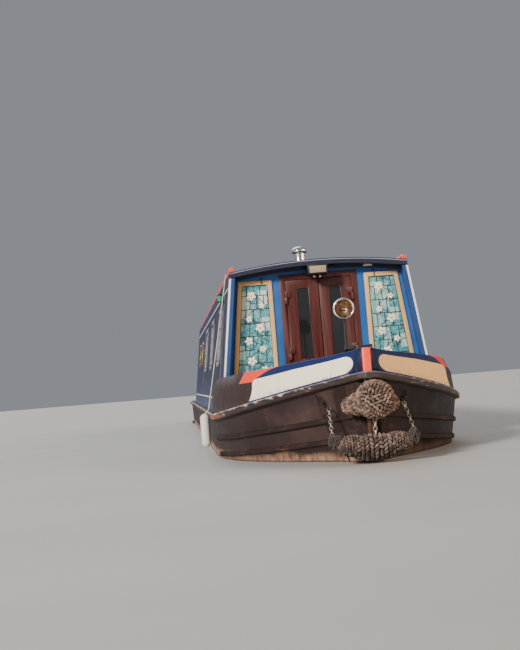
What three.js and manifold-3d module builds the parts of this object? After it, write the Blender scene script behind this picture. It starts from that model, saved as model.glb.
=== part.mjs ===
// A sixty-foot traditional narrowboat: a flat-bottomed steel hull under a long cabin.
// Millimetres. +X points to the bow, +Y to port and +Z up. Heights count from the underside
// of the base plate. "aft" is always a distance aft of the front of the stem.
import * as THREE from "three";
import { mergeVertices } from "three/addons/utils/BufferGeometryUtils.js";
import Module from "manifold-3d";

const wasm = await Module();
wasm.setup();

// Driving dimensions of the whole boat.
const HULL_LENGTH = 18288;
const STEM_X = HULL_LENGTH / 2;
const GAP = 0.3;
const SPLIT = 0.15;
const BEYOND = 1100;

// The hull's plating.
const HALF_BEAM_DECK = 1010;
const HALF_BEAM_BASE = 985;
const NOSE = 32;
const GUNWALE_Z = 980;
const GUNWALE_PLATE = 10;
const BASE_PLATE = 10;
const BASE_LIP = 12;
const HULL_WALL = 45;
const BOW_SHEER = 255;
const BOW_ENTRY = 2600;
const BASE_ENTRY = 2750;
const STEM_DEPTH = 70;
const STEM_TOP_Z = 1402;
const FOREFOOT_RAKE = 430;
const FOREFOOT_TOP = 900;
const STERN_POST = 17600;
const SWIM_START = 15300;
const POST_HALF = 30;
const UXTER_Z = 570;
const UXTER_PLATE = 10;
const COUNTER_ROUND = 1000;
const BOW_STATIONS = [70, 160, 300, 480, 700, 960, 1260, 1600, 2000, 2600, 3250];
const SWIM_STATIONS = [15300, 15900, 16500, 17000, 17350, 17600];
const COUNTER_ANGLES = [0, 18, 36, 52, 66, 78, 90];

// The guard irons, which are the rubbing strakes round the hull.
const GUARD_HEIGHT = 50;
const GUARD_PROUD = 31.5;
const STRAKE_HEIGHT = 42;
const STRAKE_PROUD = 18;
const BOW_STRAKES = [
  // bow height and full-beam height of the centre line, then where the strake starts and ends
  { bow: 945, full: 775, from: 110, to: 3250 },
  { bow: 790, full: 640, from: 130, to: 2600 },
];
const STERN_IRON = { from: 16400, z: 606 };

// The cants, the painted bulwarks of the bow.
const CANT_THICK = 30;
const CANT_INSET = 8;
const CANT_TABLE = [
  // distance aft, height of the top edge, how far the top leans inboard
  { aft: 10, top: 1400, lean: 6 },
  { aft: 70, top: 1388, lean: 10 },
  { aft: 160, top: 1376, lean: 16 },
  { aft: 300, top: 1362, lean: 22 },
  { aft: 480, top: 1349, lean: 28 },
  { aft: 700, top: 1337, lean: 36 },
  { aft: 960, top: 1320, lean: 46 },
  { aft: 1260, top: 1307, lean: 58 },
  { aft: 1600, top: 1298, lean: 70 },
  { aft: 2000, top: 1286, lean: 72 },
  { aft: 2600, top: 1272, lean: 40 },
  { aft: 3250, top: 1252, lean: 18 },
  { aft: 3600, top: 1205, lean: 15 },
  { aft: 3850, top: 1110, lean: 12 },
  { aft: 4000, top: 1010, lean: 10 },
];

// The fore deck, its locker and the well deck.
const DECK_TOP = 1262;
const DECK_PLATE = 12;
const DECK_END = 1350;
const LOCKER_WALL = 30;
const WELL_TOP = 740;
const WELL_PLATE = 20;
const LID = { from: 640, to: 1040, width: 400, thick: 10, overlap: 22 };
const HEADLAMP = { aft: 1200, z: 1731, bowlLow: 60 };
const MOORING_STUD = { aft: 430, height: 150, barZ: 146, barLength: 204, barRadius: 19 };
const COUNTER_STUD = { ahead: 320, side: 640, height: 130 };

// The cabin.
const CABIN_FRONT = 2859;
const BULKHEAD_FRONT = 3011;
const CABIN_REAR = 17050;
const REAR_OVERHANG = 40;
const BULKHEAD_WALL = 50;
const CABIN_WALL = 50;
const CABIN_HALF_FOOT = 944;
const CABIN_HALF_TOP = 780;
const ROOF_EDGE_Z = 2190;
const ROOF_CAMBER = 65;
const ROOF_THICK = 50;
const ROOF_ARC_STEPS = 12;
const FLOOR_TOP = 150;

// The doors at both ends, which share one design.
const DOORWAY = { half: 344, post: 50, proud: 8 };
const FRONT_ENTRY = {
  face: BULKHEAD_FRONT, out: 1, sill: 800, top: 2145, leafTop: 2090, panelTop: 1380, glazed: true,
};
const REAR_ENTRY = {
  face: CABIN_REAR, out: -1, sill: 1000, top: 2165, leafTop: 2160, panelTop: 1560, glazed: false,
};
const LEAF = { thick: 40, edge: 5, meet: 4, rail: 66, panelRail: 90, recess: 8, stile: 76 };
const KNUCKLE = { radius: 9, height: 55, clear: 1 };
const PANE = 6;

// The front windows, whose outer edges lean with the cabin's sides.
const FRONT_WINDOW = { inner: 410, outerTop: 708, top: 2109, bottom: 1110, lean: 0.1242 };
const FRAME_WIDTH = 38;
const FRAME_PROUD = 14;

// The side windows and portholes.
const SIDE_WINDOW = { length: 920, sill: 1420, head: 1960, corner: 70, rim: 34, proud: 8 };
const SIDE_WINDOW_CENTRES = [4700, 7500, 10300];
const PORTHOLE = { radius: 150, height: 1700, centres: [12700, 14300] };

// What stands on the roof.
const HANDRAIL = { inner: 742, outer: 780, height: 44, from: 2870, to: 17000 };
const VENTS = [
  // distance aft, sideways place, name
  { aft: 3400, side: -110, name: "mushroom_vent_front" },
  { aft: 8300, side: 0, name: "mushroom_vent_middle" },
  { aft: 12900, side: 0, name: "mushroom_vent_rear" },
];
const VENT = { neck: 52, cap: 74, height: 165 };
const BELOW_ROOF = 1900;
const ABOVE_ROOF = 2500;
const CHIMNEY = { aft: 14900, side: -430, radius: 72, wall: 4, height: 420, collar: 100 };
const HATCH = {
  from: 16180, half: 320, slideHalf: 352, thick: 26, travel: 760, lipHalf: 286, lipBottom: 2172,
};
const RUNNER = { inner: 357, outer: 392, ledge: 334, ledgeTop: 2269, railTop: 2289 };

// The stern gear.
const STOCK_AFT = 17960;
const STOCK_RADIUS = 25;
const SHAFT_Z = 290;
const PROPELLER = { aft: 17715, radius: 215, hub: 42, length: 110, blades: 3 };
const RUDDER = { ahead: 120, behind: 320, bottom: 80, top: 530, thick: 24 };
const SKEG = { height: 34, width: 90, end: 18010 };
const STOCK_TOP = 1160;
const SWAN_NECK = { radius: 19, top: 2400 };
const SWAN_CURVE = [
  // forward of the stock, height over the stock's top
  [0, 8], [-6, 330], [-24, 640], [10, 930], [110, 1120],
];
const TILLER = { radius: 16, reach: 780, rise: 50, grip: 21, gripLength: 230 };
const ENGINE = { from: 14500, to: 15350, half: 300, height: 720 };

// The fenders and what holds them.
const FENDER_REACH = 315;
const FENDER_CLEAR = 0.6;
const BUTTON = { z: 1040, radiusX: 150, radiusY: 142, radiusZ: 138, arm: 66 };
const SAUSAGE = { z: 712, radius: 98, half: 205, endRadius: 52, endY: 305, endZ: 772 };
const CHAIN_RADIUS = 9;
const EYE = { aft: 400, z: 1045, size: 36, chainDrop: 14.3 };
const SIDE_FENDER = { aft: 3550, radius: 42, bottom: 668, top: 972, line: 5 };

const boat = new THREE.Group();

/* Small helpers */

const mix = (a, b, t) => a + (b - a) * t;
const clamp01 = (t) => Math.min(1, Math.max(0, t));
const xAt = (aft) => STEM_X - aft;

function tableAt(table, aft, column) {
  if (aft <= table[0].aft) {
    return table[0][column];
  }
  for (let i = 1; i < table.length; i += 1) {
    const low = table[i - 1];
    const high = table[i];
    if (aft <= high.aft) {
      return mix(low[column], high[column], (aft - low.aft) / (high.aft - low.aft));
    }
  }
  return table[table.length - 1][column];
}

// Shapes pass between the functions below as three.js geometries or as solids.
function toSolid(shape) {
  if (shape instanceof wasm.Manifold) {
    return shape;
  }
  const bare = shape.clone();
  bare.deleteAttribute("normal");
  bare.deleteAttribute("uv");
  const geometry = mergeVertices(bare, 2e-3);
  return new wasm.Manifold(new wasm.Mesh({
    numProp: 3,
    vertProperties: new Float32Array(geometry.attributes.position.array),
    triVerts: new Uint32Array(geometry.index.array),
  }));
}

function toGeometry(shape) {
  const mesh = toSolid(shape).getMesh();
  const geometry = new THREE.BufferGeometry();
  geometry.setAttribute("position", new THREE.BufferAttribute(mesh.vertProperties, 3));
  geometry.setIndex(new THREE.BufferAttribute(mesh.triVerts, 1));
  return geometry;
}

function joined(first, ...others) {
  return others.reduce((sum, other) => sum.add(toSolid(other)), toSolid(first));
}

function cut(first, ...others) {
  return others.reduce((rest, other) => rest.subtract(toSolid(other)), toSolid(first));
}

function flipped(geometry) {
  const index = geometry.index.array;
  for (let i = 0; i < index.length; i += 3) {
    [index[i], index[i + 1]] = [index[i + 1], index[i]];
  }
  return geometry;
}

function mirrored(shape) {
  return toSolid(shape).mirror([0, 1, 0]);
}

// A closed skin over rings of equal length, each ring a list of [x, y, z].
function loft(rings) {
  const count = rings[0].length;
  const positions = rings.flat(2);
  const faces = [];
  for (let ring = 0; ring + 1 < rings.length; ring += 1) {
    for (let i = 0; i < count; i += 1) {
      const a = ring * count + i;
      const b = ring * count + ((i + 1) % count);
      faces.push(a, b, b + count, a, b + count, a + count);
    }
  }
  const flat = rings[0].map(([, y, z]) => new THREE.Vector2(y, z));
  const turned = THREE.ShapeUtils.isClockWise(flat);
  const last = (rings.length - 1) * count;
  const lastFlat = rings[rings.length - 1].map(([, y, z]) => new THREE.Vector2(y, z));
  for (const [a, b, c] of THREE.ShapeUtils.triangulateShape(flat, [])) {
    faces.push(...(turned ? [a, b, c] : [a, c, b]));
  }
  for (const [a, b, c] of THREE.ShapeUtils.triangulateShape(lastFlat, [])) {
    faces.push(...(turned ? [last + a, last + c, last + b] : [last + a, last + b, last + c]));
  }
  const geometry = new THREE.BufferGeometry();
  geometry.setAttribute("position", new THREE.Float32BufferAttribute(positions, 3));
  geometry.setIndex(faces);
  return signedVolume(geometry) < 0 ? flipped(geometry) : geometry;
}

function signedVolume(geometry) {
  const points = geometry.attributes.position;
  const index = geometry.index.array;
  const [a, b, c] = [new THREE.Vector3(), new THREE.Vector3(), new THREE.Vector3()];
  let volume = 0;
  for (let i = 0; i < index.length; i += 3) {
    a.fromBufferAttribute(points, index[i]);
    b.fromBufferAttribute(points, index[i + 1]);
    c.fromBufferAttribute(points, index[i + 2]);
    volume += a.dot(b.cross(c)) / 6;
  }
  return volume;
}

// A loft through cross-sections: sectionAt(aft) gives the [y, z] points there.
function alongBoat(stations, sectionAt) {
  return loft(stations.map((aft) => sectionAt(aft).map(([y, z]) => [xAt(aft), y, z])));
}

// A box between two distances aft, two sideways places and two heights.
function block(aftFrom, aftTo, yFrom, yTo, zFrom, zTo) {
  const geometry = new THREE.BoxGeometry(aftTo - aftFrom, yTo - yFrom, zTo - zFrom);
  return geometry.translate(xAt((aftFrom + aftTo) / 2), (yFrom + yTo) / 2, (zFrom + zTo) / 2);
}

// An outline of [y, z] points, made solid between two distances aft, with holes if any.
function bulkheadPlate(points, aftFrom, aftTo, holes = []) {
  const shape = new THREE.Shape(points.map(([y, z]) => new THREE.Vector2(y, z)));
  for (const hole of holes) {
    shape.holes.push(new THREE.Path(hole.map(([y, z]) => new THREE.Vector2(y, z))));
  }
  const geometry = new THREE.ExtrudeGeometry(shape, { depth: aftTo - aftFrom, bevelEnabled: false });
  geometry.applyMatrix4(new THREE.Matrix4().set(0, 0, 1, 0, 1, 0, 0, 0, 0, 1, 0, 0, 0, 0, 0, 1));
  return geometry.translate(xAt(aftTo), 0, 0);
}

// An outline of [aft, y] points, made solid between two heights.
function deckPlate(points, zFrom, zTo) {
  const shape = new THREE.Shape(points.map(([aft, y]) => new THREE.Vector2(xAt(aft), y)));
  const geometry = new THREE.ExtrudeGeometry(shape, { depth: zTo - zFrom, bevelEnabled: false });
  return geometry.translate(0, 0, zFrom);
}

// An outline of [aft, z] points, made solid across the boat.
function profilePlate(points, yFrom, yTo) {
  const shape = new THREE.Shape(points.map(([aft, z]) => new THREE.Vector2(xAt(aft), z)));
  const geometry = new THREE.ExtrudeGeometry(shape, { depth: yTo - yFrom, bevelEnabled: false });
  geometry.rotateX(Math.PI / 2);
  return geometry.translate(0, yTo, 0);
}

function upright(radiusTop, radiusBottom, height, sides = 24) {
  return new THREE.CylinderGeometry(radiusTop, radiusBottom, height, sides).rotateX(Math.PI / 2);
}

// A round bar through a list of points.
function rod(points, radius, sides = 10, steps = 1) {
  const path = steps > 1
    ? new THREE.CatmullRomCurve3(points.map((point) => new THREE.Vector3(...point)))
    : new THREE.LineCurve3(new THREE.Vector3(...points[0]), new THREE.Vector3(...points[1]));
  const shape = new THREE.Shape();
  for (let i = 0; i < sides; i += 1) {
    const angle = (i / sides) * 2 * Math.PI;
    const corner = [radius * Math.cos(angle), radius * Math.sin(angle)];
    if (i === 0) {
      shape.moveTo(...corner);
    } else {
      shape.lineTo(...corner);
    }
  }
  shape.closePath();
  return new THREE.ExtrudeGeometry(shape, { steps, extrudePath: path });
}

function addPart(name, shape, color, roughness, metalness = 0) {
  const material = new THREE.MeshStandardMaterial({ color, roughness, metalness });
  const mesh = new THREE.Mesh(toGeometry(shape), material);
  mesh.name = name;
  boat.add(mesh);
}

// Adds a port piece and its mirror image on the starboard side.
function addPair(stem, shape, ...finish) {
  addPart(`${stem}_port`, shape, ...finish);
  addPart(`${stem}_starboard`, mirrored(shape), ...finish);
}

/* The hull's shape */

const sheer = (aft) => BOW_SHEER * (1 - clamp01(aft / BOW_ENTRY)) ** 1.6;
const deckEdge = (aft) => GUNWALE_Z + sheer(aft);
const stemFront = (z) => FOREFOOT_RAKE * (1 - clamp01(z / FOREFOOT_TOP)) ** 2;

function entryCurve(aft, start, entry, full) {
  const t = clamp01((aft - start) / entry);
  return NOSE + (full - NOSE) * (1 - (1 - t) ** 2);
}

const swimTaper = (aft) => {
  const t = clamp01((aft - SWIM_START) / (STERN_POST - SWIM_START));
  return 1 - t ** 1.7;
};

// Half-breadth of the plating above the counter's bottom, and below it.
function upperHalf(aft, z) {
  const start = HULL_LENGTH - COUNTER_ROUND;
  const t = clamp01((aft - start) / COUNTER_ROUND);
  const base = entryCurve(aft, FOREFOOT_RAKE + STEM_DEPTH, BASE_ENTRY, HALF_BEAM_BASE);
  const deck = entryCurve(aft, 0, BOW_ENTRY, HALF_BEAM_DECK);
  return mix(base, deck, z / deckEdge(aft)) * Math.max(0.02, Math.sqrt(1 - t * t));
}

function lowerHalf(aft, z) {
  return mix(POST_HALF, upperHalf(Math.min(aft, SWIM_START), z), swimTaper(aft));
}

const counterStations = COUNTER_ANGLES.map(
  (angle) => HULL_LENGTH - COUNTER_ROUND + COUNTER_ROUND * Math.sin((angle * Math.PI) / 180),
);

function sideSection(half, wall, zLow, zHigh, inner) {
  return (aft) => [
    [inner, zLow],
    [Math.max(inner + 0.4, half(aft, zLow) - wall), zLow],
    [Math.max(inner + 0.4, half(aft, zHigh(aft)) - wall), zHigh(aft)],
    [inner, zHigh(aft)],
  ];
}

// Half-breadth of the outside of an iron that stands proud of the plating, all round the counter.
function ironHalf(aft, z, proud) {
  const start = HULL_LENGTH - COUNTER_ROUND;
  if (aft <= start) {
    return upperHalf(aft, z) + proud;
  }
  const t = clamp01((aft - start) / (COUNTER_ROUND + proud));
  return Math.max(26, (upperHalf(start, z) + proud) * Math.sqrt(1 - t * t));
}

const ironStations = COUNTER_ANGLES.map(
  (angle) => HULL_LENGTH - COUNTER_ROUND
    + (COUNTER_ROUND + GUARD_PROUD) * Math.sin((angle * Math.PI) / 180),
);

// A flat iron with eased edges, from its inner to its outer edge at one station.
function ironSection(inner, outer, low, high, chamfer) {
  return [
    [inner, low],
    [outer - chamfer, low],
    [outer, low + chamfer],
    [outer, high - chamfer],
    [outer - chamfer, high],
    [inner, high],
  ];
}

function strake(stations, centreAt, height, proud) {
  return alongBoat(stations, (aft) => {
    const z = centreAt(aft);
    const inner = Math.max(SPLIT, upperHalf(aft, z) - HULL_WALL / 2);
    const outer = ironHalf(aft, z, proud);
    return ironSection(inner, outer, z - height / 2, z + height / 2, height * 0.2);
  });
}

// The top guard wraps the stem, so its first sections lie ahead of it.
function topGuard() {
  const nose = [[-34, 14], [-24, 40], [-GAP, 60], [0, 61]];
  const stations = [...nose.map(([aft]) => aft), ...BOW_STATIONS, ...ironStations];
  return alongBoat(stations, (aft) => {
    const nosePoint = nose.find(([place]) => place === aft);
    const high = deckEdge(Math.max(0, aft));
    const outer = nosePoint ? nosePoint[1] : ironHalf(aft, high, GUARD_PROUD);
    const innermost = aft >= 0 && aft < BOW_ENTRY ? NOSE + GAP : SPLIT;
    const inner = Math.max(innermost, upperHalf(Math.max(0, aft), high) - HULL_WALL / 2);
    return ironSection(aft < 0 ? SPLIT : inner, outer, high - GUARD_HEIGHT, high, 8);
  });
}

// The ledge between the top of the hull's side and the cabin's side.
function gunwalePlate() {
  const inner = CABIN_HALF_FOOT - CABIN_WALL;
  return insideHull(block(CABIN_FRONT, CABIN_REAR, inner, BEYOND, GUNWALE_Z - GUNWALE_PLATE, GUNWALE_Z));
}

const lowStations = [...BOW_STATIONS, ...SWIM_STATIONS];

// The hollow of the hull on the port side, kept a gap away from the plating.
function hollow(gap) {
  const wall = HULL_WALL + gap;
  const innerEnd = HULL_LENGTH - HULL_WALL;
  const stations = [...BOW_STATIONS, ...counterStations.filter((a) => a < innerEnd - 20), innerEnd];
  const floor = UXTER_Z + UXTER_PLATE + gap;
  const low = alongBoat(lowStations, sideSection(lowerHalf, wall, 0, () => floor, -5));
  const high = alongBoat(stations, sideSection(upperHalf, wall, floor, (aft) => deckEdge(aft) + 50, -5));
  const end = block(innerEnd - 3 * gap, HULL_LENGTH, -BEYOND, BEYOND, 0, 2 * GUNWALE_Z);
  return cut(joined(low, high), end);
}

// Keeps what fits inside the hull of a shape that reaches past its sides.
function insideHull(shape) {
  const half = hollow(GAP);
  return toSolid(shape).intersect(joined(half, mirrored(half)));
}

function hullSide() {
  const highStations = [...BOW_STATIONS, ...counterStations];
  const lowSection = sideSection(lowerHalf, 0, BASE_PLATE + GAP, () => UXTER_Z, SPLIT);
  const outerLow = alongBoat(lowStations, lowSection);
  const outerHigh = alongBoat(highStations, sideSection(upperHalf, 0, UXTER_Z, deckEdge, SPLIT));
  const curve = stemCurve(STEM_DEPTH + GAP);
  const stemCut = profilePlate([
    [curve[0][0], STEM_TOP_Z + 400],
    ...curve,
    [curve[curve.length - 1][0], -50],
    [-200, -50],
    [-200, STEM_TOP_Z + 400],
  ], -100, 400);
  const shell = cut(joined(outerLow, outerHigh), hollow(0), stemCut, rudderTubeHole());
  const irons = BOW_STRAKES.map((line) => {
    const stations = [line.from, ...BOW_STATIONS.filter((a) => a > line.from && a < line.to), line.to];
    const centreAt = (aft) => mix(line.full, line.bow, sheer(aft) / BOW_SHEER);
    return strake(stations, centreAt, STRAKE_HEIGHT, STRAKE_PROUD);
  });
  const around = [STERN_IRON.from, ...ironStations];
  const sternIron = strake(around, () => STERN_IRON.z, GUARD_HEIGHT, GUARD_PROUD);
  return joined(shell, topGuard(), sternIron, ...irons, fenderEye());
}

// The hull's side as the four lengths of plating that it is welded from.
function hullSections() {
  const whole = hullSide();
  const bowEnd = BULKHEAD_FRONT + BULKHEAD_WALL;
  const end = HULL_LENGTH + BEYOND;
  const counterLow = UXTER_Z + UXTER_PLATE;
  const high = 2 * GUNWALE_Z;
  const keep = (aftFrom, aftTo, zFrom, zTo) => (
    whole.intersect(toSolid(block(aftFrom, aftTo, -BEYOND, BEYOND, zFrom, zTo)))
  );
  return {
    hull_bow: keep(-BEYOND, bowEnd, 0, high),
    hull_side: keep(bowEnd + GAP, SWIM_START, 0, high),
    hull_swim: keep(SWIM_START + GAP, end, 0, counterLow),
    hull_counter: keep(SWIM_START + GAP, end, counterLow + GAP, high),
  };
}

// The lug on the bow that the lower fender's chain hangs from.
function fenderEye() {
  const outer = upperHalf(EYE.aft, EYE.z) + EYE.size;
  return block(EYE.aft - 7, EYE.aft + 7, outer - EYE.size - 12, outer, EYE.z - 6, EYE.z + EYE.size);
}

function rudderTubeHole() {
  return upright(STOCK_RADIUS + 12, STOCK_RADIUS + 12, 200).translate(xAt(STOCK_AFT), 0, UXTER_Z);
}

// The stem's front from deck to base, moved aft by an offset, as [aft, z] points.
function stemCurve(offset) {
  const heights = [STEM_TOP_Z, FOREFOOT_TOP, 760, 600, 450, 300, 150, BASE_PLATE + GAP];
  return heights.map((z) => [stemFront(z) + offset, z]);
}

function stemPost() {
  return profilePlate([...stemCurve(0), ...stemCurve(STEM_DEPTH).reverse()], -NOSE, NOSE);
}

// One cant; a margin grows its inner face and a reach its outer one.
function cant(margin = 0, reach = 0) {
  const stations = CANT_TABLE.map((row) => row.aft);
  return alongBoat(stations, (aft) => {
    const foot = deckEdge(aft) + GAP - margin;
    const top = Math.max(foot + 25, tableAt(CANT_TABLE, aft, "top"));
    const lean = tableAt(CANT_TABLE, aft, "lean");
    const outer = upperHalf(aft, deckEdge(aft)) - CANT_INSET;
    const thick = aft < BOW_ENTRY ? CANT_THICK * 1.25 : CANT_THICK;
    const inner = (y) => Math.max(NOSE + GAP, y - thick) - margin;
    const shoulder = mix(foot, top, 0.6);
    return [
      [Math.max(outer, NOSE + 6) + reach, foot],
      [Math.max(outer - lean * 0.25, NOSE + 5) + reach, shoulder],
      [Math.max(outer - lean, NOSE + 4) + reach, top],
      [inner(outer - lean), top],
      [inner(outer - lean * 0.25), shoulder],
      [inner(outer), foot],
    ];
  });
}

/* The decks and floors inside the hull */

function symmetricPlate(stations, halfAt, zFrom, zTo) {
  const port = stations.map((aft) => [aft, halfAt(aft)]);
  const starboard = stations.map((aft) => [aft, -halfAt(aft)]).reverse();
  return deckPlate([...port, ...starboard], zFrom, zTo);
}

function basePlate() {
  const first = FOREFOOT_RAKE;
  const stations = [first, ...BOW_STATIONS.filter((a) => a > first), ...SWIM_STATIONS];
  return symmetricPlate(stations, (aft) => lowerHalf(aft, 0) + BASE_LIP, 0, BASE_PLATE);
}

function cabinFloor() {
  return insideHull(block(DECK_END, 17000, -BEYOND, BEYOND, BASE_PLATE + GAP, FLOOR_TOP));
}

function wellDeckFloor() {
  const end = BULKHEAD_FRONT + BULKHEAD_WALL;
  return insideHull(block(DECK_END - 60, end, -BEYOND, BEYOND, WELL_TOP - WELL_PLATE, WELL_TOP));
}

function foreDeck() {
  const from = STEM_DEPTH + 2 * GAP;
  const plateLow = DECK_TOP - DECK_PLATE;
  const stations = [from, ...BOW_STATIONS.filter((a) => a > from && a < DECK_END), DECK_END];
  const half = (aft) => upperHalf(aft, deckEdge(aft)) - CANT_INSET;
  const plate = symmetricPlate(stations, half, plateLow, DECK_TOP);
  const wallFrom = DECK_END - LOCKER_WALL;
  const edge = deckEdge(wallFrom);
  const lowWall = insideHull(block(wallFrom, DECK_END, -BEYOND, BEYOND, WELL_TOP + GAP, edge + 2));
  const highHalf = half(wallFrom) - HULL_WALL;
  const highWall = block(wallFrom, DECK_END, -highHalf, highHalf, edge - 1, plateLow + 1);
  const cants = cant(GAP, HALF_BEAM_DECK);
  const inset = LID.overlap;
  const side = LID.width / 2 - inset;
  const mouth = block(LID.from + inset, LID.to - inset, -side, side, 1200, 1300);
  const knuckles = [-120, 120].map((y) => lidKnuckle(y - 24));
  return joined(cut(joined(plate, lowWall, highWall), cants, mirrored(cants), mouth), ...knuckles);
}

function lidKnuckle(yFrom) {
  const barrel = new THREE.CylinderGeometry(8, 8, 46, 12)
    .translate(xAt(LID.from - 12), yFrom, DECK_TOP + 8);
  const foot = block(LID.from - 20, LID.from - 4, yFrom - 23, yFrom + 23, DECK_TOP - 2, DECK_TOP + 8);
  return joined(barrel, foot);
}

function lockerLid() {
  const z = DECK_TOP + GAP;
  const plate = block(LID.from, LID.to, -LID.width / 2, LID.width / 2, z, z + LID.thick);
  const pull = block(LID.to - 60, LID.to - 48, -45, 45, z + LID.thick - 2, z + LID.thick + 26);
  const barrels = [-120, 120].map((y) => {
    const barrel = new THREE.CylinderGeometry(8, 8, 46, 12);
    const place = y + 22.5 + GAP;
    const strap = block(LID.from - 12, LID.from + 30, place - 23, place + 23, z + 3, z + LID.thick);
    return joined(barrel.translate(xAt(LID.from - 12), place, DECK_TOP + 8), strap);
  });
  return joined(plate, pull, ...barrels);
}

function counterDeck() {
  const top = GUNWALE_Z - 2;
  const plate = insideHull(block(CABIN_REAR + GAP, HULL_LENGTH, -BEYOND, BEYOND, top - 18, top));
  const tube = upright(STOCK_RADIUS + 14, STOCK_RADIUS + 14, 440)
    .translate(xAt(STOCK_AFT), 0, GUNWALE_Z - 160);
  const trimmedTube = cut(tube, block(STOCK_AFT - 90, STOCK_AFT + 90, -90, 90, 500, UXTER_Z + 40));
  const bore = upright(STOCK_RADIUS + 4, STOCK_RADIUS + 4, 900)
    .translate(xAt(STOCK_AFT), 0, GUNWALE_Z - 160);
  const studs = [-1, 1].map((side) => counterStud(side * COUNTER_STUD.side));
  return cut(joined(plate, trimmedTube, ...studs), bore);
}

function counterStud(y) {
  const x = xAt(STOCK_AFT - COUNTER_STUD.ahead);
  const z = GUNWALE_Z - 6;
  const shank = upright(26, 30, COUNTER_STUD.height, 16).translate(x, y, z + 60);
  const head = upright(34, 34, 14, 16).translate(x, y, z + 118);
  return joined(shank, head);
}

/* The cabin */

const cabinLean = (CABIN_HALF_FOOT - CABIN_HALF_TOP) / (ROOF_EDGE_Z - GUNWALE_Z);
const cabinHalf = (z) => CABIN_HALF_FOOT - (z - GUNWALE_Z) * cabinLean;

function roofHeight(y) {
  return ROOF_EDGE_Z + ROOF_CAMBER * (1 - (y / CABIN_HALF_TOP) ** 2);
}

function roofArc(half, drop) {
  const points = [];
  for (let i = 0; i <= ROOF_ARC_STEPS; i += 1) {
    const y = mix(half, -half, i / ROOF_ARC_STEPS);
    points.push([y, roofHeight(y) - drop]);
  }
  return points;
}

function cabinRoof() {
  const bottomHalf = cabinHalf(ROOF_EDGE_Z - ROOF_THICK);
  const under = roofArc(bottomHalf, ROOF_THICK).reverse();
  under[0][1] = ROOF_EDGE_Z - ROOF_THICK;
  under[under.length - 1][1] = ROOF_EDGE_Z - ROOF_THICK;
  const outline = [...roofArc(CABIN_HALF_TOP, 0), ...under];
  const slab = bulkheadPlate(outline, CABIN_FRONT, CABIN_REAR + REAR_OVERHANG);
  const mouth = block(HATCH.from, CABIN_REAR + 100, -HATCH.half, HATCH.half, BELOW_ROOF, ABOVE_ROOF);
  const runnerFoot = ROOF_EDGE_Z + 40;
  const runnerEnd = HATCH.from - HATCH.travel - 30;
  const runners = [-1, 1].map((side) => {
    const y = side * (RUNNER.inner + RUNNER.outer) / 2;
    const wide = RUNNER.outer - RUNNER.inner;
    const railEnd = CABIN_REAR + REAR_OVERHANG;
    const rail = block(runnerEnd, railEnd, y - wide / 2, y + wide / 2, runnerFoot, RUNNER.railTop);
    const yLow = side > 0 ? RUNNER.ledge : -RUNNER.inner - 2;
    const yHigh = side > 0 ? RUNNER.inner + 2 : -RUNNER.ledge;
    return joined(rail, block(runnerEnd, railEnd, yLow, yHigh, runnerFoot, RUNNER.ledgeTop));
  });
  return joined(cut(slab, mouth), ...runners);
}

// The roof and all the space under it, as a cutter for what stands on the roof.
function roofMass(aft) {
  const below = [[-CABIN_HALF_TOP, BELOW_ROOF], [CABIN_HALF_TOP, BELOW_ROOF]];
  const outline = [...roofArc(CABIN_HALF_TOP, -GAP), ...below];
  return bulkheadPlate(outline, aft - 300, aft + 300);
}

// The roof's slab and all the space over it, as a cutter for what stands under the roof.
function overRoof() {
  const half = cabinHalf(ROOF_EDGE_Z - ROOF_THICK);
  const outline = [...roofArc(half, ROOF_THICK + GAP), [-half, ABOVE_ROOF], [half, ABOVE_ROOF]];
  return bulkheadPlate(outline, CABIN_FRONT, CABIN_REAR + REAR_OVERHANG);
}

function slideHatch() {
  const z = RUNNER.ledgeTop + GAP;
  const points = [[-HATCH.slideHalf, z], [HATCH.slideHalf, z], [HATCH.slideHalf, z + HATCH.thick - 10]];
  for (let i = 1; i < 6; i += 1) {
    const y = mix(HATCH.slideHalf, -HATCH.slideHalf, i / 6);
    points.push([y, z + HATCH.thick - 10 + 16 * (1 - (y / HATCH.slideHalf) ** 2)]);
  }
  points.push([-HATCH.slideHalf, z + HATCH.thick - 10]);
  const panel = bulkheadPlate(points, HATCH.from - 25, CABIN_REAR + REAR_OVERHANG);
  const lipFrom = CABIN_REAR + REAR_OVERHANG;
  const lip = block(lipFrom, lipFrom + 16, -HATCH.lipHalf, HATCH.lipHalf, HATCH.lipBottom, z + 10);
  const tie = block(lipFrom - 10, lipFrom + 16, -HATCH.lipHalf, HATCH.lipHalf, z + 2, z + 10);
  return joined(panel, lip, tie);
}

function roundedWindow(centre, grow) {
  const { length, sill, head, corner } = SIDE_WINDOW;
  const [x0, x1] = [xAt(centre) - length / 2 - grow, xAt(centre) + length / 2 + grow];
  const [z0, z1] = [sill - grow, head + grow];
  const r = corner + grow;
  const shape = new THREE.Shape();
  shape.moveTo(x0 + r, z0);
  shape.lineTo(x1 - r, z0);
  shape.absarc(x1 - r, z0 + r, r, -Math.PI / 2, 0);
  shape.absarc(x1 - r, z1 - r, r, 0, Math.PI / 2);
  shape.absarc(x0 + r, z1 - r, r, Math.PI / 2, Math.PI);
  shape.absarc(x0 + r, z0 + r, r, Math.PI, Math.PI * 1.5);
  return shape;
}

// A window outline made solid through the cabin side, between two depths behind its face.
function sideWindowSolid(centre, grow, from, to) {
  const settings = { depth: to - from, bevelEnabled: false, curveSegments: 4 };
  const geometry = new THREE.ExtrudeGeometry(roundedWindow(centre, grow), settings);
  const tilt = Math.atan(cabinLean);
  geometry.translate(0, -SIDE_WINDOW.sill, from);
  geometry.rotateX(Math.PI / 2 + tilt);
  return geometry.translate(0, cabinHalf(SIDE_WINDOW.sill), SIDE_WINDOW.sill);
}

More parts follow.
